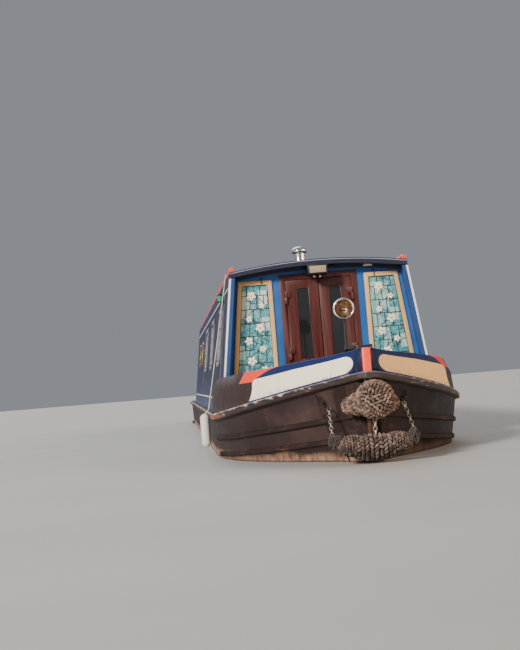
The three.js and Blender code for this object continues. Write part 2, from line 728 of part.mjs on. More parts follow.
function cabinSide() {
  const top = ROOF_EDGE_Z - ROOF_THICK - GAP;
  const foot = GUNWALE_Z;
  const section = [
    [cabinHalf(foot), foot],
    [cabinHalf(foot) - CABIN_WALL, foot],
    [cabinHalf(top) - CABIN_WALL, top],
    [cabinHalf(top), top],
  ];
  const wall = bulkheadPlate(section, CABIN_FRONT, CABIN_REAR + REAR_OVERHANG);
  const windows = SIDE_WINDOW_CENTRES.map((centre) => sideWindowSolid(centre, 0, -60, 160));
  const ports = PORTHOLE.centres.map((centre) => {
    const hole = new THREE.CylinderGeometry(PORTHOLE.radius, PORTHOLE.radius, 400, 24);
    return hole.translate(xAt(centre), cabinHalf(PORTHOLE.height), PORTHOLE.height);
  });
  return cut(joined(wall, gunwalePlate()), ...windows, ...ports);
}

// A window's rim and pane, set in its opening and standing a little proud of the wall.
function sideWindow(centre) {
  const rim = SIDE_WINDOW.rim;
  const body = sideWindowSolid(centre, -1, -SIDE_WINDOW.proud, 36);
  const flange = sideWindowSolid(centre, 16, -SIDE_WINDOW.proud - GAP, -GAP);
  const outside = sideWindowSolid(centre, -rim, -40, 12);
  const inside = sideWindowSolid(centre, -rim, 12 + PANE, 80);
  return cut(joined(body, flange), outside, inside);
}

function bulkheadOutline() {
  const lowHalf = HALF_BEAM_DECK - HULL_WALL - 3;
  const ceiling = roofArc(cabinHalf(ROOF_EDGE_Z - ROOF_THICK) - CABIN_WALL - 1, ROOF_THICK + GAP);
  const waist = CABIN_HALF_FOOT - CABIN_WALL - GAP;
  const low = WELL_TOP + GAP;
  return [
    [-lowHalf, low],
    [lowHalf, low],
    [lowHalf, GUNWALE_Z - GUNWALE_PLATE - GAP],
    [waist, GUNWALE_Z - GUNWALE_PLATE - GAP],
    [waist, GUNWALE_Z],
    ...ceiling,
    [-waist, GUNWALE_Z],
    [-waist, GUNWALE_Z - GUNWALE_PLATE - GAP],
    [-lowHalf, GUNWALE_Z - GUNWALE_PLATE - GAP],
  ];
}

// The opening in a bulkhead that a door frame fits, as far up as a given height.
const doorwayHole = (entry, top) => [
  [-DOORWAY.half - GAP, entry.sill],
  [DOORWAY.half + GAP, entry.sill],
  [DOORWAY.half + GAP, top + GAP],
  [-DOORWAY.half - GAP, top + GAP],
];

// The front window's outline, grown outwards by a margin on every side.
function frontWindowOutline(side, grow) {
  const { inner, outerTop, top, bottom, lean } = FRONT_WINDOW;
  const outerAt = (z) => outerTop + (top - z) * lean + grow;
  const points = [
    [inner - grow, bottom - grow],
    [outerAt(bottom - grow), bottom - grow],
    [outerAt(top + grow), top + grow],
    [inner - grow, top + grow],
  ];
  return side > 0 ? points : points.map(([y, z]) => [-y, z]).reverse();
}

// What a bulkhead must leave free for the hull's sides, below the gunwale.
function besideHull(from, to) {
  const wide = block(from, to, -BEYOND, BEYOND, WELL_TOP, GUNWALE_Z - GUNWALE_PLATE - GAP);
  return cut(wide, insideHull(wide));
}

function frontBulkhead() {
  const to = BULKHEAD_FRONT + BULKHEAD_WALL;
  const doorway = doorwayHole(FRONT_ENTRY, FRONT_ENTRY.top);
  const holes = [doorway, frontWindowOutline(1, GAP), frontWindowOutline(-1, GAP)];
  const wall = bulkheadPlate(bulkheadOutline(), BULKHEAD_FRONT, to, holes);
  return cut(wall, besideHull(BULKHEAD_FRONT - 1, to + 1), overRoof());
}

function rearBulkhead() {
  const from = CABIN_REAR - BULKHEAD_WALL;
  const doorway = bulkheadPlate(doorwayHole(REAR_ENTRY, REAR_ENTRY.top), from - 1, CABIN_REAR + 1);
  const notch = block(from - 1, CABIN_REAR + 1, -HATCH.half, HATCH.half, REAR_ENTRY.top - 1, ABOVE_ROOF);
  const wall = bulkheadPlate(bulkheadOutline(), from, CABIN_REAR);
  return cut(wall, doorway, notch, besideHull(from - 1, CABIN_REAR + 1), overRoof());
}

/* Doors */

const DOOR_SIDE = DOORWAY.half - DOORWAY.post - LEAF.edge;
const FRAME_EDGE = DOOR_SIDE + LEAF.edge;
const HINGE_Y = (DOOR_SIDE + FRAME_EDGE) / 2;

// Where the frame's front, the leaves' faces and the hinges' axis lie, for one pair of doors.
function doorPlanes({ face, out }) {
  const front = xAt(face) + out * DOORWAY.proud;
  return { front, leafFace: front - out * 2, axis: front + out * (KNUCKLE.radius + KNUCKLE.clear) };
}

const hingeLevels = (entry) => {
  const low = entry.sill + DOORWAY.post;
  return [0.1, 0.5, 0.9].map((share) => mix(low, entry.leafTop, share));
};

// A hinge's barrel with a strap from it to a flat face: side is where the strap goes.
function hingePart(axis, faceX, yTo, side, z) {
  const barrel = upright(KNUCKLE.radius, KNUCKLE.radius, KNUCKLE.height, 12)
    .translate(axis, side * HINGE_Y, z);
  const sign = Math.sign(axis - faceX);
  const [near, far] = [faceX - sign, axis + sign * 3];
  const [y0, y1] = [side * HINGE_Y, side * yTo];
  const strap = new THREE.BoxGeometry(Math.abs(far - near), Math.abs(y1 - y0), KNUCKLE.height);
  return joined(barrel, strap.translate((near + far) / 2, (y0 + y1) / 2, z));
}

// The frame round a pair of doors, with no head where the slide hatch passes over it.
function doorFrame(entry) {
  const { half, post, proud } = DOORWAY;
  const outer = bulkheadPlate([
    [-half, entry.sill + GAP],
    [half, entry.sill + GAP],
    [half, entry.top],
    [-half, entry.top],
  ], 0, BULKHEAD_WALL + proud);
  const innerTop = entry.glazed ? entry.top - post : entry.top + 100;
  const inner = bulkheadPlate([
    [-FRAME_EDGE, entry.sill + post],
    [FRAME_EDGE, entry.sill + post],
    [FRAME_EDGE, innerTop],
    [-FRAME_EDGE, innerTop],
  ], -10, BULKHEAD_WALL + proud + 10);
  const aftFrom = entry.out > 0 ? entry.face - proud : entry.face - BULKHEAD_WALL;
  const frame = cut(outer, inner).translate([-aftFrom, 0, 0]);
  const { front, axis } = doorPlanes(entry);
  const lugs = [-1, 1].flatMap((side) => hingeLevels(entry).map((z) => (
    hingePart(axis, front, FRAME_EDGE + 16, side, z - KNUCKLE.height - GAP)
  )));
  return joined(frame, ...lugs);
}

// The sideways and upright limits of a leaf's upper panel.
const upperPanel = (entry) => ({
  yLow: LEAF.meet + LEAF.stile,
  yHigh: DOOR_SIDE - LEAF.stile - 8,
  zLow: entry.panelTop,
  zHigh: entry.leafTop - LEAF.rail,
});

function doorLeaf(entry) {
  const { leafFace, axis } = doorPlanes(entry);
  const bottom = entry.sill + DOORWAY.post + LEAF.edge;
  const { yLow, yHigh, zLow, zHigh } = upperPanel(entry);
  const boxAt = (thick, depth, y0, y1, z0, z1) => new THREE.BoxGeometry(thick, y1 - y0, z1 - z0)
    .translate(leafFace - entry.out * depth, (y0 + y1) / 2, (z0 + z1) / 2);
  const slab = boxAt(LEAF.thick, LEAF.thick / 2, LEAF.meet, DOOR_SIDE, bottom, entry.leafTop);
  const upperDepth = entry.glazed ? 200 : LEAF.recess * 2;
  const upper = boxAt(upperDepth, 0, yLow, yHigh, zLow, zHigh);
  const lower = boxAt(LEAF.recess * 2, 0, yLow, yHigh, bottom + LEAF.panelRail, zLow - LEAF.panelRail);
  // The meeting edge is rebated at the back, so that both leaves can swing at once.
  const rebate = boxAt(LEAF.thick, LEAF.thick, 0, LEAF.meet * 2, bottom - 1, entry.leafTop + 1);
  const pins = hingeLevels(entry).map((z) => hingePart(axis, leafFace, HINGE_Y - 38, 1, z));
  return joined(cut(slab, upper, lower, rebate), ...pins);
}

function doorGlass(entry) {
  const { yLow, yHigh, zLow, zHigh } = upperPanel(entry);
  const pane = new THREE.BoxGeometry(PANE, yHigh - yLow - 2 * GAP, zHigh - zLow - 2 * GAP);
  const x = doorPlanes(entry).leafFace - entry.out * LEAF.thick / 2;
  return pane.translate(x, (yLow + yHigh) / 2, (zLow + zHigh) / 2);
}

function frontWindowFrame() {
  const hole = frontWindowOutline(1, -FRAME_WIDTH);
  return bulkheadPlate(
    frontWindowOutline(1, 0),
    BULKHEAD_FRONT - FRAME_PROUD,
    BULKHEAD_FRONT + 30,
    [hole],
  );
}

function frontWindowGlass() {
  const pane = frontWindowOutline(1, -FRAME_WIDTH - GAP);
  return bulkheadPlate(pane, BULKHEAD_FRONT + 4, BULKHEAD_FRONT + 4 + PANE);
}

/* On the roof and the deck */

function handrail() {
  const { inner, outer, height, from, to } = HANDRAIL;
  const base = roofHeight(outer - 6) + GAP;
  const section = [
    [inner, roofHeight(inner) + GAP],
    [outer, base],
    [outer, base + height - 10],
    [outer - 8, base + height],
    [inner + 8, base + height],
    [inner, base + height - 10],
  ];
  return bulkheadPlate(section, from, to);
}

function mushroomVent({ aft, side }) {
  const { neck, cap, height } = VENT;
  const profile = [
    [0, 0], [neck + 22, 0], [neck + 22, 8], [neck, 12], [neck, height - 62], [cap - 6, height - 56],
    [cap, height - 44], [cap - 8, height - 24], [cap - 34, height - 6], [0, height],
  ];
  const points = profile.map(([r, z]) => new THREE.Vector2(r, z));
  const low = roofHeight(Math.abs(side) + neck + 22);
  const vent = new THREE.LatheGeometry(points, 24).rotateX(Math.PI / 2).translate(xAt(aft), side, low);
  return cut(vent, roofMass(aft));
}

function chimney() {
  const { aft, side, radius, wall, height, collar } = CHIMNEY;
  const high = roofHeight(Math.abs(side) - collar) + GAP;
  const low = roofHeight(Math.abs(side) + collar) + GAP;
  const pipe = upright(radius, radius, height, 28).translate(xAt(aft), side, high + height / 2);
  const base = upright(radius + 16, collar, 60 + high - low, 28)
    .translate(xAt(aft), side, (low + high + 60) / 2);
  const rim = upright(radius + 9, radius + 9, 26, 28).translate(xAt(aft), side, high + height - 13);
  const bore = upright(radius - wall, radius - wall, height, 28)
    .translate(xAt(aft), side, high + height / 2 + 40);
  return cut(joined(pipe, base, rim), bore, roofMass(aft));
}

function headlamp() {
  const { aft, z, bowlLow } = HEADLAMP;
  const profile = [
    [0, -70], [30, -64], [52, -44], [66, -10], [72, 24], [76, 26], [76, 38], [68, 40], [64, 30], [0, 30],
  ];
  const points = profile.map(([r, depth]) => new THREE.Vector2(r, depth));
  const bowl = new THREE.LatheGeometry(points, 28).rotateZ(-Math.PI / 2).translate(xAt(aft), 0, z);
  const post = upright(13, 15, z - bowlLow - DECK_TOP, 12)
    .translate(xAt(aft), 0, (z - bowlLow + DECK_TOP) / 2 + GAP);
  const foot = upright(42, 46, 12, 20).translate(xAt(aft), 0, DECK_TOP + 6 + GAP);
  return joined(bowl, post, foot);
}

function mooringStud() {
  const { aft, height, barZ, barLength, barRadius } = MOORING_STUD;
  const shank = upright(27, 34, height, 16).translate(xAt(aft), 0, DECK_TOP + height / 2 + GAP);
  const bar = new THREE.CylinderGeometry(barRadius, barRadius, barLength, 14)
    .translate(xAt(aft), 0, DECK_TOP + barZ);
  return joined(shank, bar);
}

/* Stern gear */

function skeg() {
  const low = BASE_PLATE + GAP;
  const bar = block(STERN_POST + GAP, SKEG.end, -SKEG.width / 2, SKEG.width / 2, 0, SKEG.height + low);
  const heel = upright(40, 44, 26, 20).translate(xAt(STOCK_AFT), 0, SKEG.height + low + 10);
  const post = block(STERN_POST + GAP, STERN_POST + 46, -POST_HALF, POST_HALF, 5, UXTER_Z - GAP);
  const tube = new THREE.CylinderGeometry(46, 52, 42, 20).rotateZ(-Math.PI / 2)
    .translate(xAt(STERN_POST + 40), 0, SHAFT_Z);
  return joined(bar, heel, post, tube);
}

function propeller() {
  const { aft, radius, hub, length, blades } = PROPELLER;
  const start = STERN_POST + 61 + GAP;
  const end = aft + length / 2;
  const barrel = new THREE.CylinderGeometry(hub, hub - 6, end - start, 20).rotateZ(-Math.PI / 2)
    .translate(xAt((start + end) / 2), 0, 0);
  const nut = new THREE.CylinderGeometry(24, 12, 40, 12)
    .rotateZ(Math.PI / 2)
    .translate(xAt(end + 18), 0, 0);
  const shape = new THREE.Shape();
  shape.moveTo(-34, hub - 12);
  shape.quadraticCurveTo(-118, radius * 0.55, -62, radius * 0.93);
  shape.quadraticCurveTo(0, radius * 1.06, 62, radius * 0.93);
  shape.quadraticCurveTo(118, radius * 0.55, 34, hub - 12);
  const parts = [barrel, nut];
  for (let i = 0; i < blades; i += 1) {
    const blade = new THREE.ExtrudeGeometry(shape, { depth: 10, bevelEnabled: false, curveSegments: 6 });
    blade.translate(0, 0, -5);
    blade.rotateX(Math.PI / 2);
    blade.rotateZ(Math.PI / 2 - 0.62);
    blade.rotateX((i / blades) * 2 * Math.PI);
    parts.push(blade.translate(xAt(aft), 0, 0));
  }
  return joined(...parts).translate([0, 0, SHAFT_Z]);
}

function rudder() {
  const { ahead, behind, bottom, top, thick } = RUDDER;
  const outline = [
    [STOCK_AFT - ahead, bottom + 60], [STOCK_AFT - ahead + 30, bottom], [STOCK_AFT + behind - 60, bottom],
    [STOCK_AFT + behind, bottom + 70], [STOCK_AFT + behind - 40, top - 20], [STOCK_AFT + behind - 90, top],
    [STOCK_AFT - ahead, top],
  ];
  const blade = profilePlate(outline, -thick / 2, thick / 2);
  const heelTop = SKEG.height + BASE_PLATE + GAP + 23;
  const low = heelTop + GAP;
  const stock = upright(STOCK_RADIUS, STOCK_RADIUS, STOCK_TOP - low, 20)
    .translate(xAt(STOCK_AFT), 0, (STOCK_TOP + low) / 2);
  return joined(blade, stock);
}

function tiller() {
  const x = xAt(STOCK_AFT);
  const base = STOCK_TOP + GAP;
  const { radius, top } = SWAN_NECK;
  const rise = SWAN_CURVE.map(([ahead, up]) => [x + ahead, 0, base + up]);
  const neck = rod([...rise, [x + 260, 0, top - 22], [x + 330, 0, top - 14]], radius, 12, 22);
  const socket = upright(34, 34, 60, 20).translate(x, 0, base + 30);
  const tip = x + 300 + TILLER.reach;
  const bar = rod([[x + 300, 0, top - 18], [tip, 0, top + TILLER.rise]], TILLER.radius, 12);
  const grip = rod([
    [tip - TILLER.gripLength, 0, top + TILLER.rise - 16], [tip + 12, 0, top + TILLER.rise + 1],
  ], TILLER.grip, 12);
  return joined(neck, socket, bar, grip);
}

function engine() {
  const { from, to, half, height } = ENGINE;
  return block(from, to, -half, half, FLOOR_TOP + GAP, FLOOR_TOP + height);
}

/* Fenders */

function ball(x, y, z, radiusX, radiusY, radiusZ) {
  return new THREE.SphereGeometry(1, 18, 12).scale(radiusX, radiusY, radiusZ).translate(x, y, z);
}

function bowButton() {
  const centre = STEM_X + FENDER_REACH - BUTTON.radiusX;
  const knob = ball(centre, 12, BUTTON.z, BUTTON.radiusX, BUTTON.radiusY, BUTTON.radiusZ);
  const arms = [-1, 1].flatMap((side) => [
    ball(STEM_X + 75, side * 92, BUTTON.z - 24, 96, 88, 84),
    ball(STEM_X - 6, side * 142, BUTTON.z - 34, BUTTON.arm, BUTTON.arm, BUTTON.arm),
  ]);
  const seat = block(-40, -GAP, -60, 60, BUTTON.z - 90, BUTTON.z + 60);
  const clearOfHull = [-1, 1].map((side) => bowFlank(side));
  const stem = block(-GAP, 200, -NOSE - GAP, NOSE + GAP, 700, 1400);
  return cut(joined(knob, ...arms, seat), stem, ...clearOfHull);
}

// The space that the bow's plating takes up near the stem, with a small margin.
function bowFlank(side) {
  const stations = [0, 70, 160, 300];
  const section = (aft) => [
    [-1, 500],
    [Math.max(NOSE, upperHalf(aft, 500)) + FENDER_CLEAR, 500],
    [upperHalf(aft, 1300) + FENDER_CLEAR, 1300],
    [-1, 1300],
  ];
  const space = alongBoat(stations, section);
  return side > 0 ? space : mirrored(space);
}

function bowSausage() {
  const x = STEM_X + SAUSAGE.radius - 14;
  const { z, radius, half, endRadius, endY, endZ } = SAUSAGE;
  const pieces = [ball(x, 0, z, radius, half, radius)];
  for (const side of [-1, 1]) {
    const end = [x - 26, side * endY, endZ];
    pieces.push(ball(x - 4, side * half * 0.75, z + 20, radius * 0.8, 110, radius * 0.8));
    pieces.push(ball(...end, endRadius * 0.9, endRadius, endRadius));
    const eyeY = side * (upperHalf(EYE.aft, EYE.z) + EYE.size - 14);
    const chainTop = [xAt(EYE.aft), eyeY, EYE.z - EYE.chainDrop];
    pieces.push(rod([[end[0], end[1], end[2] + 20], chainTop], CHAIN_RADIUS, 8));
  }
  pieces.push(rod([[x, 0, z + 40], [x + 40, 4, BUTTON.z - 146]], CHAIN_RADIUS, 8));
  return cut(joined(...pieces), stemPost(), bowFlank(1), bowFlank(-1));
}

function sternFender() {
  const inside = xAt(HULL_LENGTH);
  const core = ball(inside - FENDER_REACH + 135, 0, 800, 135, 150, 140);
  const arms = [-1, 1].map((side) => ball(inside - 130, side * 115, 790, 85, 110, 82));
  const seat = block(HULL_LENGTH + GAP, HULL_LENGTH + 110, -70, 70, 740, 860);
  return joined(core, ...arms, seat);
}

function sideFender() {
  const { aft, radius, bottom, top, line } = SIDE_FENDER;
  const y = HALF_BEAM_DECK + GUARD_PROUD + radius + 1 - 0.6;
  const profile = [
    [0, bottom], [radius * 0.7, bottom + 8], [radius, bottom + 34], [radius, top - 34],
    [radius * 0.7, top - 8], [0, top],
  ];
  const points = profile.map(([r, z]) => new THREE.Vector2(r, z));
  const body = new THREE.LatheGeometry(points, 16).rotateX(Math.PI / 2).translate(xAt(aft), y, 0);
  const railZ = roofHeight(HANDRAIL.outer) + HANDRAIL.height - 14;
  const rope = rod([[xAt(aft), y, top - 10], [xAt(aft), HANDRAIL.outer + line + GAP + 1, railZ]], line, 8);
  return joined(body, rope);
}

/* Assembly */

const BLACKING = [0x2e2624, 0.75, 0.2];
const BLUE = [0x2a66a8, 0.35, 0.1];
const NAVY = [0x1f2840, 0.35, 0.1];
const CREAM = [0xe9dcc0, 0.4, 0.1];
const RED = [0xd2493c, 0.4, 0.1];
const MAHOGANY = [0x5e2b22, 0.4];
const ROPE = [0x7a6656, 0.95];
const STEEL = [0x2b2b2c, 0.5, 0.6];
const GLASS = [0x8fb9bd, 0.08];

addPart("base_plate", basePlate(), ...BLACKING);
for (const [stem, section] of Object.entries(hullSections())) {
  addPair(stem, section, ...BLACKING);
}
addPart("stem_post", stemPost(), ...RED);
addPair("cant", cant(), ...CREAM);
addPart("fore_deck", foreDeck(), ...NAVY);
addPart("locker_lid", lockerLid(), ...NAVY);
addPart("well_deck_floor", wellDeckFloor(), ...BLACKING);
addPart("cabin_floor", cabinFloor(), ...MAHOGANY);
addPart("counter_deck", counterDeck(), ...NAVY);
addPair("cabin_side", cabinSide(), ...NAVY);
addPart("cabin_roof", cabinRoof(), ...NAVY);
addPart("front_bulkhead", frontBulkhead(), ...BLUE);
addPart("rear_bulkhead", rearBulkhead(), ...BLUE);
addPart("front_door_frame", doorFrame(FRONT_ENTRY), ...MAHOGANY);
addPair("front_door", doorLeaf(FRONT_ENTRY), ...MAHOGANY);
addPair("front_door_glass", doorGlass(FRONT_ENTRY), ...GLASS);
addPair("front_window_frame", frontWindowFrame(), ...CREAM);
addPair("front_window_glass", frontWindowGlass(), ...GLASS);
addPart("rear_door_frame", doorFrame(REAR_ENTRY), ...MAHOGANY);
addPair("rear_door", doorLeaf(REAR_ENTRY), ...MAHOGANY);
SIDE_WINDOW_CENTRES.forEach((centre, i) => {
  addPair(`side_window_${i + 1}`, sideWindow(centre), ...GLASS);
});
addPair("handrail", handrail(), ...RED);
for (const vent of VENTS) {
  addPart(vent.name, mushroomVent(vent), ...STEEL);
}
addPart("chimney", chimney(), ...STEEL);
addPart("slide_hatch", slideHatch(), ...NAVY);
addPart("headlamp", headlamp(), ...STEEL);
addPart("mooring_stud", mooringStud(), ...STEEL);
addPart("skeg", skeg(), ...BLACKING);
addPart("propeller", propeller(), ...STEEL);
addPart("rudder", rudder(), ...BLACKING);
addPart("tiller", tiller(), ...STEEL);
addPart("engine", engine(), ...STEEL);
addPart("bow_button_fender", bowButton(), ...ROPE);
addPart("bow_sausage_fender", bowSausage(), ...ROPE);
addPart("stern_fender", sternFender(), ...ROPE);
addPair("side_fender", sideFender(), ...CREAM);

export default boat;
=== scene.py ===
"""Finishes and fine pieces of a sixty-foot canal narrowboat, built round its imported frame.

Metres throughout: +X to the bow, +Y to port, +Z up from the underside of the base plate.
"Aft" is always a distance aft of the front of the stem.
"""

from __future__ import annotations

import logging
import math
import random
from collections.abc import Callable, Sequence
from dataclasses import dataclass, field
from enum import Enum

import bmesh
import bpy
from bmesh.types import BMEdge, BMesh, BMFace, BMVert
from bpy.types import Material, MeshVertex, Node, NodeSocket, Object
from mathutils import Matrix, Vector

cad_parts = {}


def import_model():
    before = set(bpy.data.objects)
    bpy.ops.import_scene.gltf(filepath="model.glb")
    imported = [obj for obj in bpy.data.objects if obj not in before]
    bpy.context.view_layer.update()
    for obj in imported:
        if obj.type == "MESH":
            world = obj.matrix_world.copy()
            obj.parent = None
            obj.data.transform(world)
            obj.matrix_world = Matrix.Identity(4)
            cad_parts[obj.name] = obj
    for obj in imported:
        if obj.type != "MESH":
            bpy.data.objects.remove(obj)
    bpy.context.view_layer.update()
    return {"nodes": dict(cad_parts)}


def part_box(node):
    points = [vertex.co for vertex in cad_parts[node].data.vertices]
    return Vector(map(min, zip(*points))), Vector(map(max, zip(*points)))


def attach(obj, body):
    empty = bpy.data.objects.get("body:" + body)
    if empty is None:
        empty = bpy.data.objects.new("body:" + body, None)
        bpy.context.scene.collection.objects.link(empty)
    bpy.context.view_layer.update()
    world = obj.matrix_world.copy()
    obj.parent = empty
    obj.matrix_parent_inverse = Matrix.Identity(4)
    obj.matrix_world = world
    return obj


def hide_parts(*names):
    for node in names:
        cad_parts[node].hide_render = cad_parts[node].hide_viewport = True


LOG = logging.getLogger("narrowboat")
STEM_X = 9.144
WATERLINE = 0.6
GUNWALE_Z = 0.98
SEED = 41

Colour = tuple[float, float, float]
Point = tuple[float, float, float]
Pair = tuple[float, float]
Value = NodeSocket | float | Sequence[float]

NAVY: Colour = (0.008, 0.013, 0.052)
BRIGHT_BLUE: Colour = (0.013, 0.115, 0.42)
BAND_BLUE: Colour = (0.008, 0.019, 0.1)
CREAM: Colour = (1.0, 0.92, 0.76)
# painted shade: a warmer, darker copy of CREAM for the port side, which lies in shade
SHADED_PORT_CREAM: Colour = (1.0, 0.65, 0.3)
CORAL: Colour = (0.86, 0.062, 0.03)
BROWN: Colour = (0.034, 0.02, 0.02)
BLACKING: Colour = (0.032, 0.018, 0.019)
MUD: Colour = (0.47, 0.28, 0.2)
GRIME: Colour = (0.11, 0.085, 0.065)
RUST: Colour = (0.23, 0.075, 0.03)
PALE_WEAR: Colour = (0.6, 0.53, 0.47)

AHEAD: Point = (1, 0, 0)
UP: Point = (0, 0, 1)
KNOB: Sequence[Pair] = (
    (0, 0), (0.009, 0), (0.008, 0.014), (0.017, 0.02), (0.019, 0.028), (0.014, 0.036), (0, 0.038),
)


class Side(Enum):
    """The two sides of the boat."""

    PORT = 1
    STARBOARD = -1

    @property
    def label(self) -> str:
        """The side's name in lower case."""
        return self.name.lower()


def x_at(aft: float) -> float:
    """The x of a distance aft of the stem."""
    return STEM_X - aft


def clamp(value: float, low: float = 0.0, high: float = 1.0) -> float:
    """The value kept between two others."""
    return min(high, max(low, value))


def lerp(a: float, b: float, t: float) -> float:
    """The value a share t of the way from a to b."""
    return a + (b - a) * t


def shaded(colour: Colour, share: float) -> Colour:
    """A colour made darker or paler by a share."""
    return tuple(min(1.0, channel * share) for channel in colour)


def table_at(rows: Sequence[Pair], where: float) -> float:
    """Reads a table of (place, value) rows with straight lines between them.

    Args:
        rows: Rows in rising order of place.
        where: The place to read.

    Returns:
        The value there, or the nearest end's value outside the table.
    """
    if where <= rows[0][0]:
        return rows[0][1]
    for (p0, v0), (p1, v1) in zip(rows, rows[1:]):
        if where <= p1:
            return lerp(v0, v1, (where - p0) / (p1 - p0))
    return rows[-1][1]


def around(count: int, radius: float) -> list[Vector]:
    """Evenly spaced places on a level circle about the origin."""
    turns = [math.tau * (i + 0.5) / count for i in range(count)]
    return [Vector((radius * math.cos(turn), radius * math.sin(turn), 0)) for turn in turns]


def mark(piece: Object, name: str, rule: Callable[[MeshVertex], Point]) -> None:
    """Writes three numbers on each point of a piece, for its finish to read.

    Args:
        piece: The piece.
        name: The attribute's name.
        rule: Gives a point's three numbers.
    """
    place = piece.data.attributes.new(name, "FLOAT_VECTOR", "POINT")
    for vert, value in zip(piece.data.vertices, place.data):
        value.vector = rule(vert)


@dataclass(frozen=True)
class HullLines:
    """The hull's form, as the frame has it."""

    length: float = 18.288
    half_deck: float = 1.01
    half_base: float = 0.985
    nose: float = 0.032
    bow_sheer: float = 0.255
    bow_entry: float = 2.6
    base_start: float = 0.5
    base_entry: float = 2.75
    counter_round: float = 1.0
    cabin_foot: float = 0.944
    cabin_top: float = 0.78
    roof_edge: float = 2.19
    camber: float = 0.065
    cant_tops: tuple[Pair, ...] = (
        (0.01, 1.4), (0.07, 1.388), (0.16, 1.376), (0.3, 1.362), (0.48, 1.349), (0.7, 1.337),
        (0.96, 1.32), (1.26, 1.307), (1.6, 1.298), (2.0, 1.286), (2.6, 1.272), (3.25, 1.252),
        (3.6, 1.205), (3.85, 1.11), (4.0, 1.01),
    )

    def deck_edge(self, aft: float) -> float:
        """Height of the hull's top edge at a distance aft."""
        return GUNWALE_Z + self.bow_sheer * (1 - clamp(aft / self.bow_entry)) ** 1.6

    def entry(self, aft: float, start: float, run: float, full: float) -> float:
        """Half-breadth of a bow curve that starts at the stem and fills out over a run."""
        t = clamp((aft - start) / run)
        return self.nose + (full - self.nose) * (1 - (1 - t) ** 2)

    def half(self, aft: float, z: float) -> float:
        """Half-breadth of the plating.

        Args:
            aft: The distance aft.
            z: The height.

        Returns:
            The distance from the centre line to the plating's outside.
        """
        t = clamp((aft - (self.length - self.counter_round)) / self.counter_round)
        base = self.entry(aft, self.base_start, self.base_entry, self.half_base)
        deck = self.entry(aft, 0.0, self.bow_entry, self.half_deck)
        return lerp(base, deck, z / self.deck_edge(aft)) * max(0.02, math.sqrt(1 - t * t))

    @property
    def lean(self) -> float:
        """How far the cabin's sides lean inboard for each metre of height."""
        return (self.cabin_foot - self.cabin_top) / (self.roof_edge - GUNWALE_Z)

    def cabin_half(self, z: float) -> float:
        """Half-breadth of the cabin's outside at a height."""
        return self.cabin_foot - (z - GUNWALE_Z) * self.lean

    def roof(self, y: float) -> float:
        """Height of the roof's top at a distance from the centre line."""
        return self.roof_edge + self.camber * (1 - (y / self.cabin_top) ** 2)


LINES = HullLines()


# Materials


